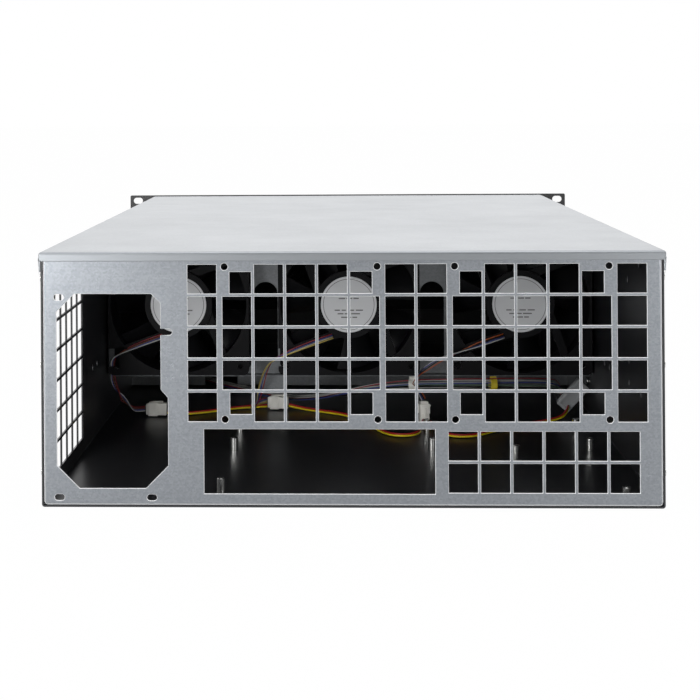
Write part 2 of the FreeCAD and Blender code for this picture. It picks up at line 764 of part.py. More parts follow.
def fan_rotor():
    """Hub cup with magnet ring, shaft and twisted blades, its axis on Y."""
    back, front = -fan_thickness * 0.24, -fan_thickness + 2.0
    cup = rod((0, back, 0), (0, front, 0), hub_radius)
    rim = [e for e in cup.Edges if e.Closed and abs(e.BoundBox.YMin - front) < 0.001]
    cup = cup.makeFillet(2.0, rim)
    cup = cup.cut(rod((0, 1, 0), (0, front + hub_wall, 0), magnet_radius))
    shaft = rod((0, front + hub_wall / 2, 0), (0, -3.0, 0), shaft_radius)
    tip_radius = duct_radius - blade_tip_gap
    stations = (hub_radius * 0.85, (hub_radius + tip_radius) / 2, tip_radius * 1.06)
    sections = [blade_section(station, *shape) for station, shape in zip(stations, blade_sections)]
    vane = Part.makeLoft(sections, True, False)
    keep = rod((0, 0, 0), (0, -fan_thickness, 0), tip_radius)
    keep = keep.cut(rod((0, 0, 0), (0, -fan_thickness, 0), hub_radius - hub_wall / 2))
    vane = vane.common(keep)
    vanes = []
    for k in range(blades):
        turned = vane.copy()
        turned.rotate(Vector(0, 0, 0), Vector(0, 1, 0), 360.0 * k / blades)
        vanes.append(turned)
    return joined(cup, shaft, *vanes)


def fan_stator():
    """Four-pole iron core on the bearing tube, inside the hub."""
    y = (-fan_thickness * 0.56, -fan_thickness * 0.3)
    core = rod((0, y[0], 0), (0, y[1], 0), bearing_radius + 4)
    arm = block((-stator_radius + 1, stator_radius - 1), y, (-3, 3))
    cross = block((-3, 3), y, (-stator_radius + 1, stator_radius - 1))
    shoes = rod((0, y[0], 0), (0, y[1], 0), stator_radius)
    shoes = shoes.cut(rod((0, y[0] - 1, 0), (0, y[1] + 1, 0), stator_radius - 2))
    gaps = []
    for turn in (45, 135):
        gap = block((-stator_radius - 1, stator_radius + 1), (y[0] - 1, y[1] + 1), (-5, 5))
        gap.rotate(Vector(0, 0, 0), Vector(0, 1, 0), turn)
        gaps.append(gap)
    stator = joined(core, arm, cross, less(shoes, gaps))
    return stator.cut(rod((0, y[0] - 1, 0), (0, y[1] + 1, 0), bearing_radius + shaft_fit))


def fan_wall():
    """Wall in front of the fans, with side and top flanges folded forward and a bottom lip."""
    half = inner_half - fit
    top = cover_under - steel - wall_top_gap
    profile = [
        (steel - half, wall_front_y - wall_side_flange),
        (steel - half, wall_front_y),
        (half - steel, wall_front_y),
        (half - steel, wall_front_y - wall_side_flange),
    ]
    sheet = folded_sheet(profile, top - wall_bottom)
    sheet.translate(Vector(0, 0, wall_bottom))
    inside = (-half + 3 * steel, half - 3 * steel)
    lip = block(inside, (wall_front_y, wall_front_y + wall_lip), (wall_bottom - steel, wall_bottom))
    web = block(inside, (wall_front_y, fan_front_y), (wall_bottom - steel, wall_bottom + steel))
    crown = block(inside, (wall_front_y - wall_lip, fan_front_y), (top - steel, top))
    tab_y = wall_front_y + wall_lip
    tab_foot = wall_bottom - tab_height
    tab = block(tab_x, (tab_y - steel, tab_y), (tab_foot, wall_bottom))
    feet = [e for e in tab.Edges if e.BoundBox.ZMax < tab_foot + 0.001 and e.BoundBox.YLength > steel / 2]
    tab = tab.makeChamfer(1.5, feet)
    wall = joined(sheet, lip, web, crown, tab)
    cut = (wall_front_y - 1, fan_front_y + 1)
    cutters = []
    for x in fan_x:
        cutters.append(rod((x, cut[0], fan_z), (x, cut[1], fan_z), duct_radius))
        for dx in (-1, 1):
            for dz in (-1, 1):
                place = x + dx * fan_hole_spacing / 2, fan_z + dz * fan_hole_spacing / 2
                start, end = (place[0], cut[0], place[1]), (place[0], cut[1], place[1])
                cutters.append(rod(start, end, screw_radius + screw_clearance))
    width, middle = fan_gap - 2 * post_slot_margin, fan_z - post_slot_drop
    for x in (-fan_pitch / 2, fan_pitch / 2):
        low, high = middle - post_slot_height / 2, middle + post_slot_height / 2
        foot = block((x - width / 2, x + width / 2), cut, (low, high - width / 2))
        feet = [e for e in foot.Edges if e.BoundBox.YLength > 1 and e.BoundBox.ZMax < low + 0.001]
        foot = foot.makeFillet(min(post_slot_corner, 0.4 * width), feet)
        arch = rod((x, cut[0], high - width / 2), (x, cut[1], high - width / 2), width / 2)
        cutters += [foot, arch]
    for side in (-1, 1):
        cutters += [side_hole(y, z, side, rivet_radius) for y, z in wall_rivets]
    return less(wall, cutters)


def fan_screws():
    """Four screws for each fan, through the wall into the fan's front flange."""
    solids = []
    for x in fan_x:
        for dx in (-1, 1):
            for dz in (-1, 1):
                start = (x + dx * fan_hole_spacing / 2, wall_front_y, fan_z + dz * fan_hole_spacing / 2)
                solids.append(screw(start, (0, 1, 0), steel + flange_thickness))
    return Part.makeCompound(solids)


def cross_rail():
    """Low rail across the floor in the front bay, with a flange along its top and a tab at each end."""
    half = inner_half - fit
    web = block((-half, half), (rail_y - steel, rail_y), rail_z)
    flange = block((-half, half), (rail_y - rail_flange, rail_y), (rail_z[1] - steel, rail_z[1]))
    ends = [
        block((side * half, side * (half - steel))[:: -side], (rail_y - rail_flange, rail_y), rail_z)
        for side in (-1, 1)
    ]
    rail = joined(web, flange, *ends)
    cutters = [block(rail_notch_x, (rail_y - steel - 1, rail_y + 1), (rail_z[0] - 1, rail_notch_top))]
    for side in (-1, 1):
        cutters += [side_hole(y, z, side, rivet_radius) for y, z in rail_rivets]
    return less(rail, cutters)


def rivets(places):
    """One rivet in each side wall at each place."""
    return Part.makeCompound([side_rivet(y, z, side) for side in (-1, 1) for y, z in places])


def cover_screws():
    """Countersunk screws through the cover's sides into the chassis."""
    solids = []
    for side in (-1, 1):
        for y in cover_screws_y:
            outer = side * case_width / 2
            head = Part.makeCone(
                cover_screw_head,
                cover_screw_radius,
                steel,
                Vector(outer, y, cover_screw_z),
                Vector(-side, 0, 0),
            )
            start = (outer - side * steel, y, cover_screw_z)
            end = (start[0] - side * cover_screw_length, y, cover_screw_z)
            shank = rod(start, end, cover_screw_radius - screw_clearance / 2)
            solids.append(joined(head, shank))
    return Part.makeCompound(solids)


def front_panel_screws():
    """Screws from the front through the panel into the chassis's front returns."""
    solids = []
    for side in (-1, 1):
        for z in front_screw_z:
            solids.append(screw((side * front_screw_x, front_y, z), (0, 1, 0), panel_thickness + steel + 2))
    return Part.makeCompound(solids)


def handle_screws():
    """Screws from behind the panel into the handles' feet."""
    length = panel_thickness + handle_screw_bite
    solids = []
    for side in (-1, 1):
        for z in handle_ends():
            solids.append(screw((side * handle_x, panel_back_y, z), (0, -1, 0), length))
    return Part.makeCompound(solids)


def pillar(x, y, height):
    """A round threaded standoff on the floor."""
    body = rod((x, y, steel), (x, y, steel + height), standoff_radius)
    rim = [e for e in body.Edges if e.Closed and e.BoundBox.ZMin > steel + height - 0.001]
    body = body.makeChamfer(standoff_chamfer, rim)
    return body.cut(rod((x, y, steel + standoff_bore_start), (x, y, steel + height + 1), standoff_bore))


def motherboard_standoffs():
    """Nine standoffs in three columns; the first column's back one stands further in."""
    columns = [0.0, standoff_second_column, standoff_third_column]
    rows = [0.0, standoff_second_row, standoff_third_row]
    solids = []
    for i, across in enumerate(columns):
        for j, along in enumerate(rows):
            depth = standoff_first_y + (standoff_corner_step if i == j == 0 else along)
            solids.append(pillar(standoff_first_x - across, back_y - depth, standoff_height))
    return Part.makeCompound(solids)


def plug(size, centre, turn, lean):
    """A small housing with a latch rib and a wire boss: its length lies along X before turning."""
    length, depth, height = size
    body = block((-length / 2 + 2, length / 2), (-depth / 2, depth / 2), (-height / 2, height / 2))
    inner_y, inner_z = (1 - depth / 2, depth / 2 - 1), (1 - height / 2, height / 2 - 1)
    boss = block((-length / 2, -length / 2 + 2), inner_y, inner_z)
    rib = block((-1, length / 2 - 3), (depth / 2, depth / 2 + 1), (-height / 6, height / 6))
    step = block((-length / 2 + 4, -length / 2 + 9), inner_y, (-height / 2 - 1, -height / 2))
    whole = joined(body, boss, rib, step)
    whole.rotate(Vector(0, 0, 0), Vector(0, 1, 0), lean)
    whole.rotate(Vector(0, 0, 0), Vector(0, 0, 1), turn)
    whole.translate(Vector(*centre))
    return whole


# Plugs that lie on the floor: middle, turn about Z, and lean of the wire end
fan_plug_places = {
    "left": ((170.8, 43.4, 8.7), 180.0, 0.0),
    "middle": ((64.0, 13.2, 8.7), 172.0, 0.0),
    "right": ((-64.3, 73.0, 11.4), 97.0, 83.0),
}
supply_plug_place = ((-191.5, 40.0, 19.7), 0.0, 48.0)

# Routes of the leads, chosen by hand
fan_lead_left = [
    (158.8, 94.4, 80.1),
    (199.5, 94.4, 65.8),
    (203.0, 89.0, 55.0),
    (203.2, 87.5, 42.0),
    (200.8, 81.0, 32.0),
    (196.4, 72.5, 22.8),
    (192.6, 63.6, 15.0),
    (189.4, 55.0, 10.0),
    (186.3, 47.9, 8.2),
    (180.9, 43.7, 8.2),
]
fan_lead_middle = [
    (13.8, 94.4, 80.1),
    (63.6, 94.4, 62.5),
    (71.5, 88.0, 50.0),
    (75.5, 80.0, 37.0),
    (78.5, 69.0, 24.0),
    (81.5, 56.0, 13.6),
    (84.8, 43.5, 8.4),
    (86.0, 32.5, 7.3),
    (84.2, 22.6, 7.9),
    (79.6, 15.2, 9.1),
    (74.1, 12.2, 9.9),
]
fan_lead_right = [
    (-131.2, 94.4, 80.1),
    (-81.4, 94.4, 62.5),
    (-68.0, 92.0, 54.5),
    (-58.0, 86.0, 45.0),
    (-56.0, 79.0, 34.0),
    (-61.3, 73.3, 27.6),
    (-64.1, 71.9, 21.6),
]
supply_lead_left = [
    (161.3, 43.0, 5.0),
    (150.0, 42.0, 3.7),
    (137.0, 38.5, 3.6),
    (121.0, 29.0, 3.6),
    (106.0, 18.0, 3.6),
    (91.0, 10.5, 3.7),
    (73.7, 11.3, 4.6),
]
supply_lead_middle = [
    (54.4, 14.6, 6.0),
    (44.0, 18.0, 3.9),
    (26.0, 29.0, 3.6),
    (3.0, 45.0, 3.6),
    (-12.0, 68.0, 3.6),
    (-20.0, 93.0, 3.6),
    (-26.5, 114.0, 3.6),
    (-36.0, 128.5, 3.6),
    (-50.0, 129.5, 3.6),
    (-59.5, 115.5, 3.6),
    (-58.8, 100.0, 3.8),
    (-63.1, 81.7, 5.9),
]
supply_lead_right = [
    (-67.4, 80.9, 5.9),
    (-72.5, 97.0, 3.9),
    (-76.0, 112.0, 3.6),
    (-79.5, 125.0, 3.6),
    (-88.5, 132.5, 3.6),
    (-100.0, 131.5, 3.6),
    (-111.0, 122.0, 3.6),
    (-126.0, 106.0, 3.6),
    (-144.0, 90.0, 3.6),
    (-163.0, 76.0, 3.6),
    (-178.0, 66.5, 4.0),
    (-188.0, 58.5, 6.4),
    (-192.0, 45.9, 11.0),
]
front_bundle = [
    (185.0, -279.7, 99.0),
    (185.0, -262.0, 98.4),
    (184.5, -245.5, 88.0),
    (184.0, -234.0, 68.0),
    (183.0, -225.0, 45.0),
    (180.0, -211.0, 22.0),
    (175.0, -189.0, 9.0),
    (167.0, -164.0, 5.6),
    (151.0, -134.0, 5.6),
    (130.0, -104.0, 5.6),
    (107.0, -75.0, 5.6),
    (80.0, -45.0, 5.6),
    (54.0, -16.0, 6.5),
    (32.0, 10.0, 12.0),
    (8.0, 33.0, 20.0),
    (-20.0, 51.0, 28.0),
    (-55.0, 60.5, wall_bottom - 9.5),
    (-91.0, 63.0, wall_bottom - 8.8),
    (-125.0, 61.5, wall_bottom - 9.0),
    (-155.0, 54.0, wall_bottom - 10.0),
    (-179.0, 37.0, 28.0),
    (-194.0, 18.0, 20.0),
    (-200.0, -4.0, 11.0),
    (-200.0, -26.0, 6.8),
]


def tie(place_x):
    """A band round the front bundle at one point of its route, hung from the fan wall's bottom lip."""
    k = min(range(1, len(front_bundle) - 1), key=lambda i: abs(front_bundle[i][0] - place_x))
    before, corner, after = [Vector(*point) for point in front_bundle[k - 1 : k + 2]]
    start, middle, end, _ = arc_at(before, corner, after)
    way = (end - start).normalize() * tie_width / 2
    inner = bundle_diameter / 2 + lead_clearance
    ring = rod(middle - way, middle + way, inner + tie_thickness)
    ring = ring.cut(rod(middle - way * 2, middle + way * 2, inner))
    x, y = middle.x, middle.y
    foot = middle.z + inner + tie_thickness / 2
    strap = block((x - tie_width / 2, x + tie_width / 2), (y - 1, y + 1), (foot, wall_bottom - steel))
    return joined(ring, strap)


def front_plug():
    """Small plug at the back end of the front bundle, on the floor."""
    x, end_y, _ = front_bundle[-1]
    y = end_y - lead_clearance * 2
    width, length, height = bundle_plug_size
    return block((x - width / 2, x + width / 2), (y - length, y), (steel, steel + height))


def wall_screw():
    """A single screw in the bare side wall of the front bay, its head inside."""
    depth, z = wall_screw_place
    return screw((-inner_half, back_y - depth, z), (-1, 0, 0), steel + 0.2)


nodes = {
    "chassis_base": chassis_base(),
    "rear_panel": rear_panel(),
    "top_cover": top_cover(),
    "front_panel": front_panel(),
    "handle_left": handle(1),
    "handle_right": handle(-1),
    "dust_filter": dust_filter(),
    "filter_frame": filter_frame(),
    "power_button": button(power_z, power_radius, power_travel),
    "reset_button": button(reset_z, reset_radius, reset_travel),
    "tact_switches": tact_switches(),
    "indicator_leds": indicator_leds(),
    "front_board": front_board(),
    "board_pillars": board_pillars(),
    "board_plug": board_plug(),
    "fan_wall": fan_wall(),
    "fan_wall_rivets": rivets(wall_rivets),
    "fan_screws": fan_screws(),
    "cross_rail": cross_rail(),
    "cross_rail_rivets": rivets(rail_rivets),
    "rear_panel_rivets": rivets(panel_rivets),
    "cover_screws": cover_screws(),
    "front_panel_screws": front_panel_screws(),
    "handle_screws": handle_screws(),
    "wall_screw": wall_screw(),
    "motherboard_standoffs": motherboard_standoffs(),
    "short_standoff": pillar(
        short_standoff[0] - inner_half, back_y - short_standoff[1], short_standoff_height
    ),
    "supply_plug": plug(supply_plug_size, *supply_plug_place),
    "front_bundle_plug": front_plug(),
    "tie_yellow": tie(yellow_tie_x),
    "tie_white": tie(white_tie_x),
    "front_bundle": tube(front_bundle, bundle_diameter, "front_bundle"),
}

one_frame, one_rotor, one_stator, one_label = fan_frame(), fan_rotor(), fan_stator(), fan_label()
fan_leads = (fan_lead_left, fan_lead_middle, fan_lead_right)
for name, x, route in zip(fan_names, fan_x, fan_leads):
    for kind, piece in (
        ("frame", one_frame),
        ("rotor", one_rotor),
        ("stator", one_stator),
        ("label", one_label),
    ):
        placed = piece.copy()
        placed.translate(Vector(x, fan_back_y, fan_z))
        nodes[f"fan_{kind}_{name}"] = placed
    nodes[f"fan_plug_{name}"] = plug(fan_plug, *fan_plug_places[name])
    nodes[f"fan_lead_{name}"] = tube(route, fan_lead_diameter, f"fan_lead_{name}")

supply_leads = (supply_lead_left, supply_lead_middle, supply_lead_right)
for name, route in zip(fan_names, supply_leads):
    nodes[f"supply_lead_{name}"] = tube(route, supply_lead_diameter, f"supply_lead_{name}")

for name, shape in nodes.items():
    shape.exportStep(f"parts/{name}.step")
print(len(nodes), "nodes")
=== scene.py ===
import math
import bpy
from mathutils import Matrix, Vector


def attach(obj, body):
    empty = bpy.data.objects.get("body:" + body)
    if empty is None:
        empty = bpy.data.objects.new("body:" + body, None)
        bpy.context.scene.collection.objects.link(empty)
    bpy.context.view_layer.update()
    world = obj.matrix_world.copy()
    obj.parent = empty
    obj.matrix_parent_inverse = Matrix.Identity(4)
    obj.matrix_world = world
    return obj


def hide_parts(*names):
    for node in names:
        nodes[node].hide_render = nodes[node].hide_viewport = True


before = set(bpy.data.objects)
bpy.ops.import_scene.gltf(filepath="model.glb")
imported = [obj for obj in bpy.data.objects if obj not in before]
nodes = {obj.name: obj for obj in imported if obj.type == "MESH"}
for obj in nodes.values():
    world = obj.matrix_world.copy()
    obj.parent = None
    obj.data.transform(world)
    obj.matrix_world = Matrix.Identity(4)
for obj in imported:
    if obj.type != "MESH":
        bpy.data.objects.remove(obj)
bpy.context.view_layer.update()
print("frame loaded:", len(nodes), "nodes")


def clearSelection():
    if bpy.context.object and bpy.context.object.mode != "OBJECT":
        bpy.ops.object.mode_set(mode="OBJECT")
    bpy.ops.object.select_all(action="DESELECT")


def pickOnly(piece):
    clearSelection()
    piece.select_set(True)
    bpy.context.view_layer.objects.active = piece


def addObject(label, mesh):
    piece = bpy.data.objects.new(label, mesh)
    bpy.context.collection.objects.link(piece)
    return piece


# camera
view = {
    "place": (0.0052, 1.3865, 0.2758),
    "turn": 182.10,  # degrees about Z
    "roll": -0.39,
    "lens": 78.16,
    "shift": (0.0921, -0.3485),
    "reach": 50,
}
clearSelection()
bpy.ops.object.camera_add(location=view["place"])
camera = bpy.context.object
camera.name = "studioCamera"
aim = Matrix.Rotation(math.radians(view["turn"]), 3, "Z") @ Matrix.Rotation(math.radians(90), 3, "X")
camera.rotation_euler = (aim @ Matrix.Rotation(math.radians(view["roll"]), 3, "Z")).to_euler()
camera.data.lens = view["lens"]
camera.data.shift_x, camera.data.shift_y = view["shift"]
camera.data.clip_end = view["reach"]
bpy.context.scene.camera = camera
print("camera placed")


# shader nodes; a value is a number, a colour or another node's output
def addNode(tree, kind, settings=None, values=None):
    node = tree.nodes.new(kind)
    for key, value in (settings or {}).items():
        setattr(node, key, value)
    for key, value in (values or {}).items():
        node.inputs[key].default_value = value
    return node


def link(tree, start, end):
    tree.links.new(start, end)


def feed(tree, value, socket):
    if isinstance(value, bpy.types.NodeSocket):
        link(tree, value, socket)
    else:
        socket.default_value = value


def mathNode(tree, operation, *values, clamp=False):
    node = addNode(tree, "ShaderNodeMath", {"operation": operation, "use_clamp": clamp})
    for value, socket in zip(values, node.inputs):
        feed(tree, value, socket)
    return node.outputs[0]


def mixNode(tree, kind, factor, first, second):
    node = addNode(tree, "ShaderNodeMix", {"data_type": kind})
    feed(tree, factor, node.inputs["Factor"])
    feed(tree, first, node.inputs["A"])
    feed(tree, second, node.inputs["B"])
    return node.outputs["Result"]


def mixColours(tree, factor, first, second):
    colours = [c if isinstance(c, bpy.types.NodeSocket) else (*c, 1) for c in (first, second)]
    return mixNode(tree, "RGBA", factor, *colours)


def mapRange(tree, value, start=(0.0, 1.0), end=(0.0, 1.0)):
    limits = {"From Min": start[0], "From Max": start[1], "To Min": end[0], "To Max": end[1]}
    node = addNode(tree, "ShaderNodeMapRange", None, limits)
    link(tree, value, node.inputs["Value"])
    return node.outputs[0]


def noise(tree, vector, values):
    node = addNode(tree, "ShaderNodeTexNoise", None, values)
    link(tree, vector, node.inputs["Vector"])
    return node


def separate(tree, vector):
    node = addNode(tree, "ShaderNodeSeparateXYZ")
    link(tree, vector, node.inputs[0])
    return node.outputs


def textureCoordinate(tree, kind="Object"):
    return addNode(tree, "ShaderNodeTexCoord").outputs[kind]


def newGroup(name, inputs, outputs):
    tree = bpy.data.node_groups.new(name, "ShaderNodeTree")
    for label, kind, value in inputs:
        socket = tree.interface.new_socket(label, in_out="INPUT", socket_type=kind)
        if value is not None:
            socket.default_value = value
    for label in outputs:
        tree.interface.new_socket(label, in_out="OUTPUT", socket_type="NodeSocketFloat")
    source = tree.nodes.new("NodeGroupInput")
    sink = tree.nodes.new("NodeGroupOutput")
    return tree, source.outputs, sink.inputs


# shared effects, as node groups
rolling = {
    "streakScale": (22, 22, 1100),  # streaks lie across Z
    "streaks": {"Scale": 1.0, "Detail": 3.0, "Roughness": 0.6},
    "clouds": {"Scale": 6.0, "Detail": 3.0},
    "cloudShare": 0.3,
}


def makeRolledSheet(form):  # zinc spangle and rolling streaks
    tree, source, sink = newGroup(
        "rolledSheet",
        [
            ("Vector", "NodeSocketVector", None),
            ("Spangle", "NodeSocketFloat", 800.0),
            ("Streak", "NodeSocketFloat", 0.5),
        ],
        ["Tone", "Height"],
    )
    cells = addNode(tree, "ShaderNodeTexVoronoi", {"feature": "F1"}, {"Randomness": 1.0})
    link(tree, source["Vector"], cells.inputs["Vector"])
    link(tree, source["Spangle"], cells.inputs["Scale"])
    split = addNode(tree, "ShaderNodeSeparateColor")
    link(tree, cells.outputs["Color"], split.inputs[0])
    stretch = addNode(tree, "ShaderNodeMapping", None, {"Scale": form["streakScale"]})
    link(tree, source["Vector"], stretch.inputs["Vector"])
    streaks = noise(tree, stretch.outputs[0], form["streaks"]).outputs["Fac"]
    clouds = noise(tree, source["Vector"], form["clouds"]).outputs["Fac"]
    both = mixNode(tree, "FLOAT", source["Streak"], split.outputs[0], streaks)
    link(tree, mixNode(tree, "FLOAT", form["cloudShare"], both, clouds), sink["Tone"])
    link(tree, streaks, sink["Height"])
    return tree


peel = {"grain": {"Detail": 2.0}, "clouds": {"Scale": 9.0, "Detail": 4.0}}


def makeOrangePeel(form):  # fine pebbled skin of powder coat or moulded plastic
    tree, source, sink = newGroup(
        "orangePeel",
        [("Vector", "NodeSocketVector", None), ("Scale", "NodeSocketFloat", 900.0)],
        ["Height", "Cloud"],
    )
    grain = noise(tree, source["Vector"], form["grain"])
    link(tree, source["Scale"], grain.inputs["Scale"])
    link(tree, grain.outputs["Fac"], sink["Height"])
    link(tree, noise(tree, source["Vector"], form["clouds"]).outputs["Fac"], sink["Cloud"])
    return tree


dust = {
    "facing": (0.3, 1.0),  # how far a face looks up, for none and all
    "specks": {"Scale": 140.0, "Detail": 6.0, "Roughness": 0.7},
    "colour": (0.36, 0.35, 0.33),
}


def makeSettledDust(form):  # more on faces that look up
    tree, source, sink = newGroup(
        "settledDust",
        [("Vector", "NodeSocketVector", None), ("Amount", "NodeSocketFloat", 0.2)],
        ["Mask"],
    )
    upward = separate(tree, addNode(tree, "ShaderNodeNewGeometry").outputs["Normal"])["Z"]
    specks = noise(tree, source["Vector"], form["specks"]).outputs["Fac"]
    settled = mathNode(tree, "MULTIPLY", mapRange(tree, upward, form["facing"]), specks)
    link(tree, mathNode(tree, "MULTIPLY", settled, source["Amount"], clamp=True), sink["Mask"])
    return tree


rolledSheet = makeRolledSheet(rolling)
orangePeel = makeOrangePeel(peel)
settledDust = makeSettledDust(dust)
print("shared effects built")


# materials
def newMaterial(name, values):
    material = bpy.data.materials.new(name)
    material.use_nodes = True
    tree = material.node_tree
    shader = next(n for n in tree.nodes if n.type == "BSDF_PRINCIPLED")
    for key, value in values.items():
        shader.inputs[key].default_value = value
    return material, tree, shader


def raiseBump(tree, height, distance, strength, shader):
    bump = addNode(tree, "ShaderNodeBump", None, {"Distance": distance, "Strength": strength})
    link(tree, height, bump.inputs["Height"])
    link(tree, bump.outputs[0], shader.inputs["Normal"])


def placeGroup(tree, group, values):
    node = addNode(tree, "ShaderNodeGroup", {"node_tree": group}, values)
    link(tree, textureCoordinate(tree), node.inputs["Vector"])
    return node.outputs


sheetRelief = {"depth": 0.00002, "strength": 0.08}


def sheetSteel(name, dark, light, metallic, rough, spangle=800.0, streak=0.5, paintedLightByFacing=None):
    material, tree, shader = newMaterial(name, {"Metallic": metallic})
    sheet = placeGroup(tree, rolledSheet, {"Spangle": spangle, "Streak": streak})
    tone = mixColours(tree, sheet["Tone"], dark, light)
    if paintedLightByFacing:  # painted light and shade: another tone by how far the sheet faces along Y, for how the lamps catch faces turned each way
        normal = addNode(tree, "ShaderNodeNewGeometry").outputs["True Normal"]
        facing = mathNode(tree, "ABSOLUTE", separate(tree, normal)["Y"])
        paintedLightShare = mapRange(tree, facing, paintedLightByFacing["facing"])
        tone = mixColours(tree, paintedLightShare, tone, paintedLightByFacing["colour"])
        metal = mapRange(tree, paintedLightShare, end=(metallic, paintedLightByFacing["metallic"]))
        link(tree, metal, shader.inputs["Metallic"])
    link(tree, tone, shader.inputs["Base Color"])
    link(tree, mapRange(tree, sheet["Tone"], end=(rough[1], rough[0])), shader.inputs["Roughness"])
    raiseBump(tree, sheet["Height"], sheetRelief["depth"], sheetRelief["strength"], shader)
    return material


coatRelief = {"depth": 0.00004, "strength": 0.35}


def coated(name, dark, light, rough, scale=900.0, depth=coatRelief["depth"], dusty=0.0, specular=0.5):
    material, tree, shader = newMaterial(name, {"Specular IOR Level": specular})
    skin = placeGroup(tree, orangePeel, {"Scale": scale})
    veil = placeGroup(tree, settledDust, {"Amount": dusty})
    tone = mixColours(tree, skin["Cloud"], dark, light)
    link(tree, mixColours(tree, veil["Mask"], tone, dust["colour"]), shader.inputs["Base Color"])
    link(tree, mapRange(tree, skin["Cloud"], end=rough), shader.inputs["Roughness"])
    raiseBump(tree, skin["Height"], depth, coatRelief["strength"], shader)
    return material


sheets = {  # dark tone, light tone, metallic, roughness, then what differs from plain sheet
    # painted shade: the same zinc-coated steel as coverSteel, in darker tones for the rear panel's less lit
    # face
    "galvanised": (
        (0.19, 0.203, 0.222),
        (0.34, 0.36, 0.385),
        0.92,
        (0.26, 0.31),
        {"paintedLightByFacing": {"colour": (0.80, 0.81, 0.82), "metallic": 0.1, "facing": (0.97, 0.8)}},  # painted highlight: bright cut edges and rims
    ),
    "coverSteel": (
        (0.26, 0.275, 0.295),
        (0.42, 0.44, 0.465),
        0.9,
        (0.28, 0.38),
        {
            "streak": 0.75,
            "paintedLightByFacing": {"colour": (0.27, 0.285, 0.30), "metallic": 0.9, "facing": (0.6, 0.95)},  # painted shade: duller lip that faces along Y
        },
    ),
    # painted shade: the same steel darker still, for the fan wall and rail in the case's shade
    "shadedInnerSteel": ((0.17, 0.18, 0.19), (0.28, 0.29, 0.30), 0.85, (0.32, 0.42), {}),
    "nickel": ((0.66, 0.66, 0.64), (0.80, 0.80, 0.78), 0.95, (0.14, 0.24), {"spangle": 400.0, "streak": 0.2}),
}
coats = {  # dark tone, light tone, roughness, then what differs from a plain coat
    "chassisBlack": ((0.012, 0.0125, 0.0145), (0.019, 0.0197, 0.0225), (0.29, 0.38), {"dusty": 0.012}),
    "frontBlack": ((0.010, 0.010, 0.011), (0.017, 0.017, 0.018), (0.34, 0.46), {"scale": 1400.0}),
    "screwBlack": ((0.012, 0.012, 0.012), (0.022, 0.022, 0.022), (0.3, 0.4), {"scale": 1600.0}),
    "fanBlack": (
        (0.004, 0.004, 0.005),
        (0.007, 0.007, 0.008),
        (0.32, 0.42),
        {"scale": 1500.0, "dusty": 0.012, "specular": 0.12},
    ),
    "bladeBlack": (
        (0.005, 0.005, 0.006),
        (0.008, 0.008, 0.009),
        (0.28, 0.38),
        {"scale": 1200.0, "dusty": 0.012, "specular": 0.22},
    ),
    "buttonBlack": ((0.015, 0.015, 0.015), (0.022, 0.022, 0.022), (0.28, 0.36), {"scale": 1300.0}),
    "anodised": ((0.014, 0.014, 0.015), (0.022, 0.022, 0.024), (0.25, 0.34), {"scale": 1100.0}),
    "foam": ((0.006, 0.006, 0.006), (0.03, 0.03, 0.03), (0.85, 0.95), {"scale": 420.0, "depth": 0.0012}),
    "labelFilm": (
        (0.68, 0.689, 0.705),
        (0.722, 0.731, 0.748),
        (0.4, 0.5),
        {"scale": 600.0, "depth": 0.00001},
    ),
    "labelInk": ((0.12, 0.12, 0.125), (0.16, 0.16, 0.165), (0.4, 0.5), {"scale": 600.0, "depth": 0.00001}),
    "windings": ((0.24, 0.09, 0.03), (0.42, 0.18, 0.06), (0.3, 0.45), {"scale": 700.0}),
    "boardGreen": ((0.008, 0.07, 0.03), (0.015, 0.11, 0.045), (0.25, 0.35), {"scale": 1000.0}),
    "ivoryNylon": ((0.85, 0.84, 0.78), (0.90, 0.89, 0.83), (0.35, 0.5), {"scale": 700.0}),
    "yellowNylon": ((0.62, 0.48, 0.03), (0.72, 0.58, 0.05), (0.3, 0.42), {"scale": 700.0}),
    "milkyNylon": ((0.24, 0.25, 0.26), (0.34, 0.35, 0.36), (0.22, 0.34), {"scale": 500.0}),
}
lens = {"Base Color": (0.7, 0.8, 0.76, 1), "Roughness": 0.12, "Transmission Weight": 0.7}
skins = {"clearLens": newMaterial("clearLens", lens)[0]}
for name, (*values, extras) in sheets.items():
    skins[name] = sheetSteel(name, *values, **extras)
for name, (*values, extras) in coats.items():
    skins[name] = coated(name, *values, **extras)

finishes = {
    "rear_panel": "galvanised",
    "top_cover": "coverSteel",
    "chassis_base": "chassisBlack",
    "front_panel": "frontBlack",
    "filter_frame": "frontBlack",
    "handle_left": "anodised",
    "handle_right": "anodised",
    "dust_filter": "foam",
    "power_button": "buttonBlack",
    "reset_button": "buttonBlack",
    "tact_switches": "buttonBlack",
    "indicator_leds": "clearLens",
    "front_board": "boardGreen",
    "board_pillars": "nickel",
    "board_plug": "ivoryNylon",
    "fan_wall": "shadedInnerSteel",
    "cross_rail": "shadedInnerSteel",
    "fan_wall_rivets": "nickel",
    "cross_rail_rivets": "nickel",
    "rear_panel_rivets": "nickel",
    "fan_screws": "nickel",
    "cover_screws": "screwBlack",
    "front_panel_screws": "screwBlack",
    "handle_screws": "screwBlack",
    "wall_screw": "nickel",
    "motherboard_standoffs": "nickel",
    "short_standoff": "nickel",
    "front_bundle_plug": "buttonBlack",
    "tie_yellow": "yellowNylon",
    "tie_white": "ivoryNylon",
}
for side in ("left", "middle", "right"):
    finishes["fan_frame_" + side] = "fanBlack"
    finishes["fan_rotor_" + side] = "bladeBlack"
    finishes["fan_stator_" + side] = "windings"
    finishes["fan_label_" + side] = "labelFilm"
for name, skin in finishes.items():
    nodes[name].data.materials.clear()
    nodes[name].data.materials.append(skins[skin])
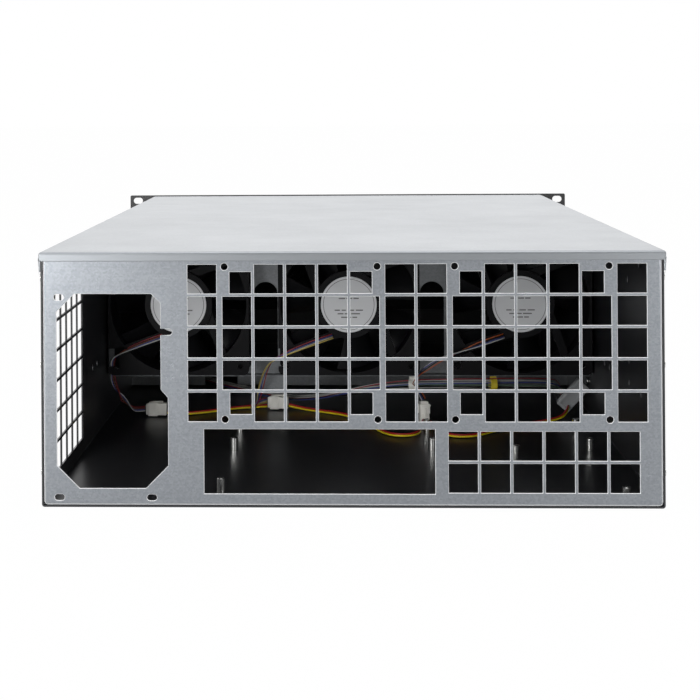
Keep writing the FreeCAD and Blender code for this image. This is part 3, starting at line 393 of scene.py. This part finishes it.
print("finishes on", len(finishes), "nodes")


# ways of making a piece
welding = {"gap": 0.00001, "flat": 0.5}  # flat is in degrees
softening = {
    "corner": 40,  # degrees, the least that is rounded
    "smooth": 35,  # the most that shades smooth
}


def weldedCopy(name, label):
    piece = addObject(label, nodes[name].data.copy())
    pickOnly(piece)
    bpy.ops.object.mode_set(mode="EDIT")
    bpy.ops.mesh.select_all(action="SELECT")
    bpy.ops.mesh.remove_doubles(threshold=welding["gap"])
    bpy.ops.mesh.dissolve_limited(angle_limit=math.radians(welding["flat"]))
    bpy.ops.object.mode_set(mode="OBJECT")
    return piece


def smoothShade():
    bpy.ops.object.shade_smooth_by_angle(angle=math.radians(softening["smooth"]))


def softenEdges(piece, width, steps=2, flat=False):
    pickOnly(piece)
    bpy.ops.object.modifier_add(type="BEVEL")
    bevel = piece.modifiers[-1]
    bevel.width = width
    bevel.segments = steps
    bevel.loop_slide = False
    bevel.limit_method = "ANGLE"
    bevel.angle_limit = math.radians(softening["corner"])
    bevel.use_clamp_overlap = False
    bpy.ops.object.modifier_apply(modifier=bevel.name)
    if flat:
        bpy.ops.object.shade_flat()
    else:
        smoothShade()


def cutAway(piece, cutter):
    pickOnly(piece)
    bpy.ops.object.modifier_add(type="BOOLEAN")
    cut = piece.modifiers[-1]
    cut.operation = "DIFFERENCE"
    cut.solver = "EXACT"
    cut.object = cutter
    bpy.ops.object.modifier_apply(modifier=cut.name)
    bpy.data.objects.remove(cutter)


def standFor(piece, name):  # in place of a CAD node, on the case
    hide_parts(name)
    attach(piece, "case")


def addBlock(label, low, high):
    clearSelection()
    bpy.ops.mesh.primitive_cube_add(size=1, location=[(a + b) / 2 for a, b in zip(low, high)])
    bpy.ops.transform.resize(value=[b - a for a, b in zip(low, high)])
    bpy.ops.object.transform_apply(location=True, rotation=True, scale=True)
    piece = bpy.context.object
    piece.name = label
    return piece


def stepFace(piece, way, near, inset, push):  # the face that looks along way, nearest to a point
    bpy.context.tool_settings.mesh_select_mode = (False, False, True)
    mesh = piece.data
    facing = [p for p in mesh.polygons if p.normal.dot(Vector(way)) > 0.9]
    chosen = min(facing, key=lambda p: (p.center - Vector(near)).length).index
    mesh.vertices.foreach_set("select", [False] * len(mesh.vertices))
    mesh.edges.foreach_set("select", [False] * len(mesh.edges))
    mesh.polygons.foreach_set("select", [p.index == chosen for p in mesh.polygons])
    bpy.ops.object.mode_set(mode="EDIT")
    if inset:
        bpy.ops.mesh.inset(thickness=inset)
    bpy.ops.mesh.extrude_region_move(TRANSFORM_OT_translate={"value": push})
    bpy.ops.object.mode_set(mode="OBJECT")


def joinPieces(pieces, label):
    clearSelection()
    for piece in pieces:
        piece.select_set(True)
    bpy.context.view_layer.objects.active = pieces[0]
    bpy.ops.object.join()
    pieces[0].name = label
    return pieces[0]


def placeCopy(form, label, middle, turn, lean):
    piece = addObject(label, form.data.copy())
    place = Matrix.Translation(middle) @ Matrix.Rotation(math.radians(turn), 4, "Z")
    piece.data.transform(place @ Matrix.Rotation(math.radians(lean), 4, "Y"))
    return piece


# plugs
fanPlugForm = {
    "length": 0.0180,
    "depth": 0.0086,
    "height": 0.0116,
    "edge": 0.00022,
    "collar": 0.0022,  # where the fan's wires go in
    "collarStep": 0.0011,
    "collarWall": 0.0008,
    "cavity": 0.0014,
    "seam": 0.0012,  # where socket and header meet, from the middle
    "overlap": 0.0004,
    "headerStep": (0.0007, 0.0006),  # the header is slimmer by this, in depth and height
    "headerWall": 0.0009,
    "topPad": (0.0014, 0.0005),  # margin and rise
    "socketDish": (0.0018, 0.0005),  # margin and sink
    "headerPad": (0.0016, 0.0004),
    "latch": {
        "ends": (0.0050, 0.0030),  # behind the seam, and short of the header's end
        "half": 0.0013,
        "root": 0.0001,
        "rise": 0.0008,
        "crown": (0.0004, 0.0003),
    },
    "key": {
        "ends": (0.0004, 0.0020),  # past the collar
        "rims": (0.0030, 0.0004),  # in from the top and bottom
        "root": 0.0001,
        "rise": 0.0006,
        "crown": (0.0003, 0.0002),
    },
    "places": {  # middle, turn about Z, lean
        "left": ((0.1708, 0.0434, 0.0081), 180.0, 0.0),
        "middle": ((0.0640, 0.0132, 0.0081), 172.0, 0.0),
        "right": ((-0.0643, 0.0730, 0.0114), 97.0, 83.0),
    },
}


def makeFanPlug(form):
    half, deep, tall = form["length"] / 2, form["depth"] / 2, form["height"] / 2
    start = form["collar"] - half
    seam = form["seam"]
    socket = addBlock("plugSocket", (start, -deep, -tall), (seam, deep, tall))
    middle = (start + seam) / 2
    stepFace(socket, (-1, 0, 0), (start, 0, 0), form["collarStep"], (-form["collar"], 0, 0))
    stepFace(socket, (-1, 0, 0), (-half, 0, 0), form["collarWall"], (form["cavity"], 0, 0))
    margin, rise = form["topPad"]
    stepFace(socket, (0, 0, 1), (middle, 0, tall), margin, (0, 0, rise))
    margin, sink = form["socketDish"]
    for side in (-1, 1):
        stepFace(socket, (0, side, 0), (middle, side * deep, 0), margin, (0, -sink * side, 0))
    wide, high = deep - form["headerStep"][0], tall - form["headerStep"][1]
    header = addBlock("plugHeader", (seam - form["overlap"], -wide, -high), (half, wide, high))
    middle = (seam + half) / 2
    stepFace(header, (1, 0, 0), (half, 0, 0), form["headerWall"], (-form["cavity"], 0, 0))
    margin, rise = form["headerPad"]
    for side in (-1, 1):
        stepFace(header, (0, side, 0), (middle, side * deep, 0), margin, (0, rise * side, 0))
    grip = form["latch"]
    low = (seam - grip["ends"][0], -grip["half"], tall - grip["root"])
    high = (half - grip["ends"][1], grip["half"], tall + grip["rise"])
    latch = addBlock("plugLatch", low, high)
    margin, rise = grip["crown"]
    stepFace(latch, (0, 0, 1), (0, 0, tall), margin, (0, 0, rise))
    pieces = [socket, header, latch]
    guide = form["key"]
    first, last = start + guide["ends"][0], start + guide["ends"][1]
    root, top = deep - guide["root"], deep + guide["rise"]
    margin, rise = guide["crown"]
    for side in (-1, 1):
        low, high = sorted(side * (tall - rim) for rim in guide["rims"])
        key = addBlock("plugKey", (first, root, low), (last, top, high))
        stepFace(key, (0, 1, 0), ((first + last) / 2, deep, (low + high) / 2), margin, (0, rise, 0))
        pieces.append(key)
    return joinPieces(pieces, "fanPlugForm")


plugForm = makeFanPlug(fanPlugForm)
plugForm.data.materials.append(skins["ivoryNylon"])
softenEdges(plugForm, fanPlugForm["edge"])
for side, (middle, turn, lean) in fanPlugForm["places"].items():
    piece = placeCopy(plugForm, "fanPlug_" + side, middle, turn, lean)
    standFor(piece, "fan_plug_" + side)
bpy.data.objects.remove(plugForm)

supplyPlugForm = {
    "length": 0.0280,
    "depth": 0.0086,
    "height": 0.0128,
    "edge": 0.0003,
    "mouth": (0.0010, 0.0040),  # wall and depth of the end that the wires go in
    "sideDish": (0.0024, 0.0005),  # margin and sink
    "ribs": (0.0022, 0.0006),  # margin and rise, above and below
    "ways": 4,
    "endWalls": 0.0020,  # both together
    "chamberShare": 0.42,  # half a pin chamber's width, of the pitch
    "chamberRoot": 0.0004,
    "chamberRise": 0.0006,
    "chamberWall": 0.0003,
    "throat": 0.0010,  # depth of each pin chamber
    "place": ((-0.1965, 0.0407, 0.0197), 0.0, 48.0),
}


def makeSupplyPlug(form):
    half, deep, tall = form["length"] / 2, form["depth"] / 2, form["height"] / 2
    shell = addBlock("supplyShell", (-half, -deep, -tall), (half, deep, tall))
    wall, sink = form["mouth"]
    stepFace(shell, (-1, 0, 0), (-half, 0, 0), wall, (sink, 0, 0))
    margin, sink = form["sideDish"]
    stepFace(shell, (0, 1, 0), (0, deep, 0), margin, (0, -sink, 0))
    margin, rise = form["ribs"]
    for side in (1, -1):
        stepFace(shell, (0, 0, side), (0, 0, side * tall), margin, (0, 0, side * rise))
    pieces = [shell]
    pitch = (form["height"] - form["endWalls"]) / form["ways"]
    reach = pitch * form["chamberShare"]
    back, front = half - form["chamberRoot"], half + form["chamberRise"]
    for k in range(form["ways"]):
        middle = (k - (form["ways"] - 1) / 2) * pitch
        chamber = addBlock("chamber", (back, -reach, middle - reach), (front, reach, middle + reach))
        stepFace(chamber, (1, 0, 0), (front, 0, middle), form["chamberWall"], (-form["throat"], 0, 0))
        pieces.append(chamber)
    return joinPieces(pieces, "supplyPlugForm")


form = makeSupplyPlug(supplyPlugForm)
form.data.materials.append(skins["milkyNylon"])
softenEdges(form, supplyPlugForm["edge"])
supplyPlug = placeCopy(form, "supplyPlugMilky", *supplyPlugForm["place"])
bpy.data.objects.remove(form)
standFor(supplyPlug, "supply_plug")
print("supply plug placed")


# leads
wireFinish = {
    "shade": 0.8,  # of each colour, for its dark tone
    "rough": (0.28, 0.4),
    "depth": 0.00002,
    "sides": 8,  # of each strand's round
    "colours": {
        "red": (0.46, 0.02, 0.025),
        "orange": (0.50, 0.11, 0.03),
        "yellow": (0.92, 0.74, 0.015),
        "cream": (0.50, 0.46, 0.32),
        "straw": (0.52, 0.40, 0.08),
        "brown": (0.20, 0.07, 0.03),
        "blue": (0.06, 0.08, 0.30),
        "maroon": (0.30, 0.03, 0.04),
        "white": (0.56, 0.56, 0.54),
        "black": (0.012, 0.012, 0.012),
        "green": (0.16, 0.24, 0.18),
    },
}
wires = {}
for name, colour in wireFinish["colours"].items():
    shade = tuple(c * wireFinish["shade"] for c in colour)
    wires[name] = coated("wire" + name.title(), shade, colour, wireFinish["rough"], depth=wireFinish["depth"])


def routeLine(points):  # a smooth line that the points draw along
    curve = bpy.data.curves.new("routeLine", "CURVE")
    curve.dimensions = "3D"
    curve.resolution_u = 10
    spline = curve.splines.new("NURBS")
    spline.points.add(len(points) - 1)
    for knot, point in zip(spline.points, points):
        knot.co = (*point, 1)
    spline.order_u = 3
    spline.use_endpoint_u = True
    holder = addObject("routeLine", curve)
    line = bpy.data.meshes.new_from_object(holder)
    places = [vertex.co.copy() for vertex in line.vertices]
    bpy.data.objects.remove(holder)
    return places


def lineLength(line):
    return sum((b - a).length for a, b in zip(line, line[1:]))


def keyedVector(keys, share):
    for (s0, v0), (s1, v1) in zip(keys, keys[1:]):
        if share <= s1:
            return Vector(v0).lerp(Vector(v1), (share - s0) / max(s1 - s0, 1e-6))
    return Vector(keys[-1][1])


wander = {"waves": (9.0, 7.0), "starts": (2.1, 1.3)}  # how loose strands drift, across the lead and behind it


def strandRings(line, strands, across, turns, sway):  # for each strand, a ring of points at each place
    sides = wireFinish["sides"]
    whole = lineLength(line)
    run = 0.0
    rings = [[] for _ in strands]
    for i, here in enumerate(line):
        if i:
            run += (here - line[i - 1]).length
        share = run / whole
        ahead = (line[min(i + 1, len(line) - 1)] - line[max(i - 1, 0)]).normalized()
        side = keyedVector(across, share)
        side = (side - ahead * side.dot(ahead)).normalized()
        up = ahead.cross(side)
        ease = share * share * (3 - 2 * share)
        turn = 2 * math.pi * turns * ease
        free = math.sin(math.pi * share) ** 0.5 if 0 < share < 1 else 0.0
        for k, (colour, radius, a, b) in enumerate(strands):
            a2 = a * math.cos(turn) - b * math.sin(turn)
            b2 = a * math.sin(turn) + b * math.cos(turn)
            a2 += sway * free * math.sin(wander["waves"][0] * share + wander["starts"][0] * k)
            b2 += sway * free * math.cos(wander["waves"][1] * share + wander["starts"][1] * k)
            centre = here + side * a2 + up * b2
            ring = []
            for j in range(sides):
                angle = 2 * math.pi * j / sides
                ring.append(centre + (side * math.cos(angle) + up * math.sin(angle)) * radius)
            rings[k].append(ring)
    return rings


def layWires(name, points, strands, across, turns, sway):
    # strands: wire colour, radius, place across the lead and place behind it
    line = routeLine(points)
    rings = strandRings(line, strands, across, turns, sway)
    sides = wireFinish["sides"]
    verts, faces, slots = [], [], []
    colours = list(dict.fromkeys(strand[0] for strand in strands))
    for strand, places in zip(strands, rings):
        slot = colours.index(strand[0])
        first = len(verts)
        for ring in places:
            verts.extend(tuple(point) for point in ring)
        for i in range(len(line) - 1):
            for j in range(sides):
                p = first + i * sides + j
                q = first + i * sides + (j + 1) % sides
                faces.append((p, q, q + sides, p + sides))
        last = first + (len(line) - 1) * sides
        faces.append(tuple(first + j for j in reversed(range(sides))))
        faces.append(tuple(last + j for j in range(sides)))
        slots += [slot] * (len(faces) - len(slots))
    mesh = bpy.data.meshes.new(name)
    mesh.from_pydata(verts, [], faces)
    for colour in colours:
        mesh.materials.append(wires[colour])
    mesh.polygons.foreach_set("material_index", slots)
    mesh.polygons.foreach_set("use_smooth", [True] * len(faces))
    return addObject(name, mesh), line


fanWires = {
    "radius": 0.00043,
    "pitch": 0.00122,
    "turns": 1.0,
    "sway": 0.0003,
    "across": [  # share of the length, and the way across the ribbon there
        (0.0, (0.33, 0.0, 0.94)),
        (0.3, (0.33, 0.0, 0.94)),
        (0.6, (0.6, 0.6, 0.4)),
        (1.0, (0.0, 0.0, 1.0)),
    ],
    "left": {
        "colours": ("white", "blue", "brown", "maroon"),
        "points": [
            (0.1588, 0.0944, 0.0801),
            (0.1995, 0.0944, 0.0658),
            (0.2030, 0.0890, 0.0550),
            (0.2032, 0.0875, 0.0420),
            (0.2008, 0.0810, 0.0320),
            (0.1964, 0.0725, 0.0228),
            (0.1926, 0.0636, 0.0150),
            (0.1894, 0.0550, 0.0100),
            (0.1863, 0.0479, 0.0082),
            (0.1809, 0.0437, 0.0082),
        ],
    },
    "middle": {
        "colours": ("straw", "cream", "blue", "maroon"),
        "points": [
            (0.0138, 0.0944, 0.0801),
            (0.0636, 0.0944, 0.0625),
            (0.0715, 0.0880, 0.0500),
            (0.0755, 0.0800, 0.0370),
            (0.0785, 0.0690, 0.0240),
            (0.0815, 0.0560, 0.0136),
            (0.0848, 0.0435, 0.0084),
            (0.0860, 0.0325, 0.0073),
            (0.0842, 0.0226, 0.0079),
            (0.0796, 0.0152, 0.0091),
            (0.0741, 0.0122, 0.0099),
        ],
    },
    "right": {
        "colours": ("white", "blue", "black", "orange"),
        "points": [
            (-0.1312, 0.0944, 0.0801),
            (-0.0814, 0.0944, 0.0625),
            (-0.0680, 0.0920, 0.0545),
            (-0.0580, 0.0860, 0.0450),
            (-0.0560, 0.0790, 0.0340),
            (-0.0613, 0.0733, 0.0276),
            (-0.0641, 0.0719, 0.0216),
        ],
    },
}
supplyWires = {
    "radius": 0.00078,
    "strands": (("yellow", -0.00092), ("red", 0.00072)),  # colour and place across the lead
    "across": [
        (0.0, (0.0, -0.4, 1.0)),
        (0.3, (0.0, -0.75, 0.66)),
        (0.7, (0.0, -0.75, 0.66)),
        (1.0, (0.0, -0.4, 1.0)),
    ],
    "left": [
        (0.1613, 0.0430, 0.0050),
        (0.1500, 0.0420, 0.0037),
        (0.1370, 0.0385, 0.0036),
        (0.1210, 0.0290, 0.0036),
        (0.1060, 0.0180, 0.0036),
        (0.0910, 0.0105, 0.0037),
        (0.0737, 0.0113, 0.0046),
    ],
    "middle": [
        (0.0544, 0.0146, 0.0060),
        (0.0440, 0.0180, 0.0039),
        (0.0260, 0.0290, 0.0036),
        (0.0030, 0.0450, 0.0036),
        (-0.0120, 0.0680, 0.0036),
        (-0.0200, 0.0930, 0.0036),
        (-0.0265, 0.1140, 0.0036),
        (-0.0360, 0.1285, 0.0036),
        (-0.0500, 0.1295, 0.0036),
        (-0.0595, 0.1155, 0.0036),
        (-0.0588, 0.1000, 0.0038),
        (-0.0631, 0.0817, 0.0059),
    ],
    "right": [
        (-0.0674, 0.0809, 0.0059),
        (-0.0725, 0.0970, 0.0039),
        (-0.0760, 0.1120, 0.0036),
        (-0.0795, 0.1250, 0.0036),
        (-0.0885, 0.1325, 0.0036),
        (-0.1000, 0.1315, 0.0036),
        (-0.1110, 0.1220, 0.0036),
        (-0.1260, 0.1060, 0.0036),
        (-0.1440, 0.0900, 0.0036),
        (-0.1630, 0.0760, 0.0036),
        (-0.1780, 0.0665, 0.0040),
        (-0.1880, 0.0585, 0.0064),
        (-0.1920, 0.0459, 0.0110),
    ],
}
bundleWires = {
    "radius": 0.0005,
    "pitch": 0.00135,
    "stagger": 0.0008,  # each strand to one side or the other of the row
    "sway": 0.0011,
    "stack": ("maroon", "white", "blue", "white", "green", "white", "black", "white"),
    "across": [
        (0.0, (1.0, 0.0, 0.0)),
        (0.2, (1.0, 0.0, 0.1)),
        (0.3, (0.75, 0.66, 0.0)),
        (0.58, (0.65, 0.75, 0.0)),
        (0.7, (0.15, 0.2, 0.97)),
        (0.88, (0.0, 0.0, 1.0)),
        (0.95, (1.0, 0.0, 0.2)),
        (1.0, (1.0, 0.0, 0.0)),
    ],
    "points": [
        (0.1850, -0.2797, 0.0990),
        (0.1850, -0.2620, 0.0984),
        (0.1845, -0.2455, 0.0880),
        (0.1840, -0.2340, 0.0680),
        (0.1830, -0.2250, 0.0450),
        (0.1800, -0.2110, 0.0220),
        (0.1750, -0.1890, 0.0090),
        (0.1670, -0.1640, 0.0056),
        (0.1510, -0.1340, 0.0056),
        (0.1300, -0.1040, 0.0056),
        (0.1070, -0.0750, 0.0056),
        (0.0800, -0.0450, 0.0056),
        (0.0540, -0.0160, 0.0065),
        (0.0320, 0.0100, 0.0120),
        (0.0080, 0.0330, 0.0200),
        (-0.0200, 0.0510, 0.0280),
        (-0.0550, 0.0605, 0.0325),
        (-0.0910, 0.0630, 0.0332),
        (-0.1250, 0.0615, 0.0330),
        (-0.1550, 0.0540, 0.0320),
        (-0.1790, 0.0370, 0.0280),
        (-0.1940, 0.0180, 0.0200),
        (-0.2000, -0.0040, 0.0110),
        (-0.2000, -0.0260, 0.0068),
    ],
}
leads = []
for side in ("left", "middle", "right"):
    lead = fanWires[side]
    centre = (len(lead["colours"]) - 1) / 2
    strands = []
    for k, colour in enumerate(lead["colours"]):
        strands.append((colour, fanWires["radius"], (k - centre) * fanWires["pitch"], 0.0))
    piece, line = layWires(
        "fanWires_" + side, lead["points"], strands, fanWires["across"], fanWires["turns"], fanWires["sway"]
    )
    standFor(piece, "fan_lead_" + side)
    leads.append(piece)
for side in ("left", "middle", "right"):
    strands = [(colour, supplyWires["radius"], place, 0.0) for colour, place in supplyWires["strands"]]
    piece, line = layWires("supplyWires_" + side, supplyWires[side], strands, supplyWires["across"], 0.0, 0.0)
    standFor(piece, "supply_lead_" + side)
    leads.append(piece)
centre = (len(bundleWires["stack"]) - 1) / 2
strands = []
for k, colour in enumerate(bundleWires["stack"]):
    aside = bundleWires["stagger"] * (-1) ** k
    strands.append((colour, bundleWires["radius"], (centre - k) * bundleWires["pitch"], aside))
piece, line = layWires(
    "bundleWires", bundleWires["points"], strands, bundleWires["across"], 0.0, bundleWires["sway"]
)
standFor(piece, "front_bundle")
leads.append(piece)
print("leads laid:", len(leads))


# sheet metal with broken edges
softSheets = {  # slot, edge width and steps
    "rear_panel": ("galvanised_steel", 0.00027, 1),
    "top_cover": ("galvanised_steel", 0.00045, 2),
    "fan_wall": ("galvanised_steel", 0.0002, 2),
    "front_panel": ("black_paint", 0.0003, 2),
}
slotMouth = {  # one screw slot runs out into the supply's opening
    "panel": "rear_panel",
    "low": (0.1262, 0.3400, 0.1184),
    "high": (0.1320, 0.3460, 0.1230),
}
for name, (slotName, width, steps) in softSheets.items():
    piece = weldedCopy(name, name + "Edged")
    softenEdges(piece, width, steps, flat=True)
    if name == slotMouth["panel"]:
        cutAway(piece, addBlock("slotMouth", slotMouth["low"], slotMouth["high"]))
    standFor(piece, name)
    print("edges softened:", name, len(piece.data.polygons), "faces")


# screws
recess = {
    "arm": 0.0015,
    "web": 0.00032,
    "depth": 0.0011,
    "twist": (0.3, 0.7),  # of the first, and from each to the next
    "screws": (  # node, axis, side that the heads look to or 0 for outwards, slot
        ("cover_screws", 0, 0, "black_screws"),
        ("front_panel_screws", 1, -1, "black_screws"),
        ("handle_screws", 1, 1, "black_screws"),
        ("fan_screws", 1, -1, "nickel_steel"),
        ("wall_screw", 0, 0, "nickel_steel"),
    ),
}


def makeCross(form):
    arm, web, depth = form["arm"], form["web"], form["depth"]
    cross = addBlock("crossForm", (-web, -web, -depth), (web, web, depth))
    for x, y in ((1, 0), (-1, 0), (0, 1), (0, -1)):
        stepFace(cross, (x, y, 0), (x * web, y * web, 0), None, (x * (arm - web), y * (arm - web), 0))
    return cross


def headPlaces(piece, axis, side):  # the outer end of every screw in the piece
    pickOnly(addObject("screwScrap", piece.data.copy()))
    bpy.ops.object.mode_set(mode="EDIT")
    bpy.ops.mesh.select_all(action="SELECT")
    bpy.ops.mesh.separate(type="LOOSE")
    bpy.ops.object.mode_set(mode="OBJECT")
    found = []
    for part in list(bpy.context.selected_objects):
        low = [min(v.co[k] for v in part.data.vertices) for k in range(3)]
        high = [max(v.co[k] for v in part.data.vertices) for k in range(3)]
        middle = [(a + b) / 2 for a, b in zip(low, high)]
        way = side or (1 if middle[axis] > 0 else -1)
        middle[axis] = high[axis] if way > 0 else low[axis]
        found.append(middle)
        bpy.data.objects.remove(part)
    return found


def driveScrews(name, axis, side):
    piece = weldedCopy(name, name + "Recessed")
    turn = Matrix.Rotation(math.radians(90), 4, "Y" if axis == 0 else "X")
    places = headPlaces(piece, axis, side)
    cross = makeCross(recess)
    first, step = recess["twist"]
    cutters = []
    for k, place in enumerate(places):
        cutter = addObject("crossCutter", cross.data.copy())
        twist = Matrix.Rotation(step * k + first, 4, "Z")
        cutter.data.transform(Matrix.Translation(place) @ turn @ twist)
        cutters.append(cutter)
    bpy.data.objects.remove(cross)
    cutAway(piece, joinPieces(cutters, "crossCutters"))
    smoothShade()
    standFor(piece, name)
    print("recesses cut:", name, len(places), "screws", len(piece.data.polygons), "faces")


for name, axis, side, slotName in recess["screws"]:
    driveScrews(name, axis, side)


# print on the fan labels
labelPrint = {
    "face": 0.0959,  # Y of the label's face
    "middle": 0.107,
    "across": {"left": 0.145, "middle": 0.0, "right": -0.145},
    "ring": 0.0215,
    "line": 0.00022,
    "flat": 0.1,  # the ring's thickness, of its line's width
    "ringSides": (96, 6),
    "dash": 0.0005,  # half its height
    "sunk": 0.00001,
    "proud": 0.00002,
    "rows": (  # rise, then the ends of each dash
        (0.0078, ((-0.0040, -0.0012), (-0.0006, 0.0040))),
        (0.0052, ((-0.0085, -0.0040), (-0.0030, 0.0020), (0.0030, 0.0085))),
        (-0.0048, ((-0.0120, -0.0060), (-0.0045, 0.0010), (0.0025, 0.0060), (0.0075, 0.0120))),
        (-0.0078, ((-0.0095, -0.0020), (-0.0010, 0.0035), (0.0045, 0.0095))),
        (-0.0108, ((-0.0070, -0.0030), (-0.0020, 0.0065))),
    ),
}


def printLabel(form, label, across):
    clearSelection()
    bpy.ops.mesh.primitive_torus_add(
        major_radius=form["ring"],
        minor_radius=form["line"],
        major_segments=form["ringSides"][0],
        minor_segments=form["ringSides"][1],
    )
    ring = bpy.context.object
    ring.data.transform(Matrix.Scale(form["flat"], 4, (0, 0, 1)))
    upright = Matrix.Rotation(math.radians(90), 4, "X")
    ring.data.transform(Matrix.Translation((across, form["face"], form["middle"])) @ upright)
    pieces = [ring]
    for rise, dashes in form["rows"]:
        for start, end in dashes:
            low = (across + start, form["face"] - form["sunk"], form["middle"] + rise - form["dash"])
            high = (across + end, form["face"] + form["proud"], form["middle"] + rise + form["dash"])
            pieces.append(addBlock("labelDash", low, high))
    return joinPieces(pieces, label)


for side, across in labelPrint["across"].items():
    printed = printLabel(labelPrint, "labelPrint_" + side, across)
    printed.data.materials.clear()
    printed.data.materials.append(skins["labelInk"])
    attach(printed, "case")
print("labels printed: ring and dashes")


# stage and lights
studio = {
    "floorSize": 40.0,
    "floorPaper": {"Base Color": (0.86, 0.86, 0.86, 1), "Roughness": 0.9},
    "floorGlow": 0.99,
    "floorShade": 0.15,  # of the same floor on the open side, as gloss sees it
    "floorTurn": (0.2, 0.5),  # Y over which the floor goes from white to that
    "world": 0.5,
    "roomShade": 0.08,  # of the dark half of the room, as gloss sees it
    "roomTurn": (0.25, -0.35),  # the same, by direction along Y
    "ceiling": 0.75,  # of what lies above that half
    "ceilingTurn": (0.2, 0.55),  # by direction along Z
    "lamps": [  # name, place, aim, size, power
        ("skyBox", (0.0, 0.5, 2.4), (0.0, 0.0, 0.1), 2.2, 20.0),
        ("backLeft", (1.7, 2.1, 1.1), (0.0, 0.2, 0.08), 1.8, 12.0),
        ("backRight", (-1.7, 2.1, 0.9), (0.0, 0.2, 0.08), 1.6, 8.5),
        ("lowLeft", (0.84, 1.75, 0.3), (0.05, 0.3, 0.06), 0.56, 12.0),
        ("lowRight", (-0.95, 1.75, 0.3), (-0.05, 0.3, 0.06), 0.56, 5.0),
        ("frontFill", (0.0, -2.6, 1.2), (0.0, 0.0, 0.1), 1.8, 4.0),
    ],
}


def layFloor(form):
    clearSelection()
    bpy.ops.mesh.primitive_plane_add(size=form["floorSize"], location=(0, 0, 0))
    floor = bpy.context.object
    floor.name = "studioFloor"
    material, tree, shader = newMaterial("floorPaper", form["floorPaper"])
    paths = addNode(tree, "ShaderNodeLightPath").outputs
    place = separate(tree, textureCoordinate(tree))
    near = mapRange(tree, place["Y"], form["floorTurn"], (1.0, form["floorShade"]))
    gloss = mathNode(tree, "MULTIPLY", paths["Is Glossy Ray"], near)
    seen = mathNode(tree, "MAXIMUM", paths["Is Camera Ray"], gloss)
    glow = addNode(tree, "ShaderNodeEmission", None, {"Color": (1, 1, 1, 1), "Strength": 1.0})
    blend = addNode(tree, "ShaderNodeMixShader")
    link(tree, mathNode(tree, "MULTIPLY", seen, form["floorGlow"]), blend.inputs[0])
    link(tree, shader.outputs[0], blend.inputs[1])
    link(tree, glow.outputs[0], blend.inputs[2])
    surface = next(n for n in tree.nodes if n.type == "OUTPUT_MATERIAL").inputs["Surface"]
    link(tree, blend.outputs[0], surface)
    floor.data.materials.append(material)


def lightRoom(form):
    world = bpy.data.worlds.new("studioWorld")
    bpy.context.scene.world = world
    world.use_nodes = True
    tree = world.node_tree
    back = next(n for n in tree.nodes if n.type == "BACKGROUND")
    back.inputs["Color"].default_value = (1, 1, 1, 1)
    back.inputs["Strength"].default_value = form["world"]
    paths = addNode(tree, "ShaderNodeLightPath").outputs
    way = separate(tree, textureCoordinate(tree, "Generated"))
    room = mapRange(tree, way["Y"], form["roomTurn"], (form["roomShade"], 1.0))
    above = mapRange(tree, way["Z"], form["ceilingTurn"], (0.0, form["ceiling"]))
    lit = mathNode(tree, "MAXIMUM", room, above)
    glossy = mixNode(tree, "FLOAT", paths["Is Glossy Ray"], form["world"], lit)
    plain = mathNode(tree, "MAXIMUM", paths["Is Camera Ray"], paths["Is Transmission Ray"])
    link(tree, mixNode(tree, "FLOAT", plain, glossy, 1.0), back.inputs["Strength"])
    for name, place, aimAt, size, power in form["lamps"]:
        clearSelection()
        bpy.ops.object.light_add(type="AREA", location=place)
        lamp = bpy.context.object
        lamp.name = name
        lamp.data.size = size
        lamp.data.energy = power
        lamp.rotation_euler = (Vector(aimAt) - Vector(place)).to_track_quat("-Z", "Y").to_euler()


layFloor(studio)
lightRoom(studio)
print("stage lit")

bpy.context.scene.view_settings.view_transform = "Standard"
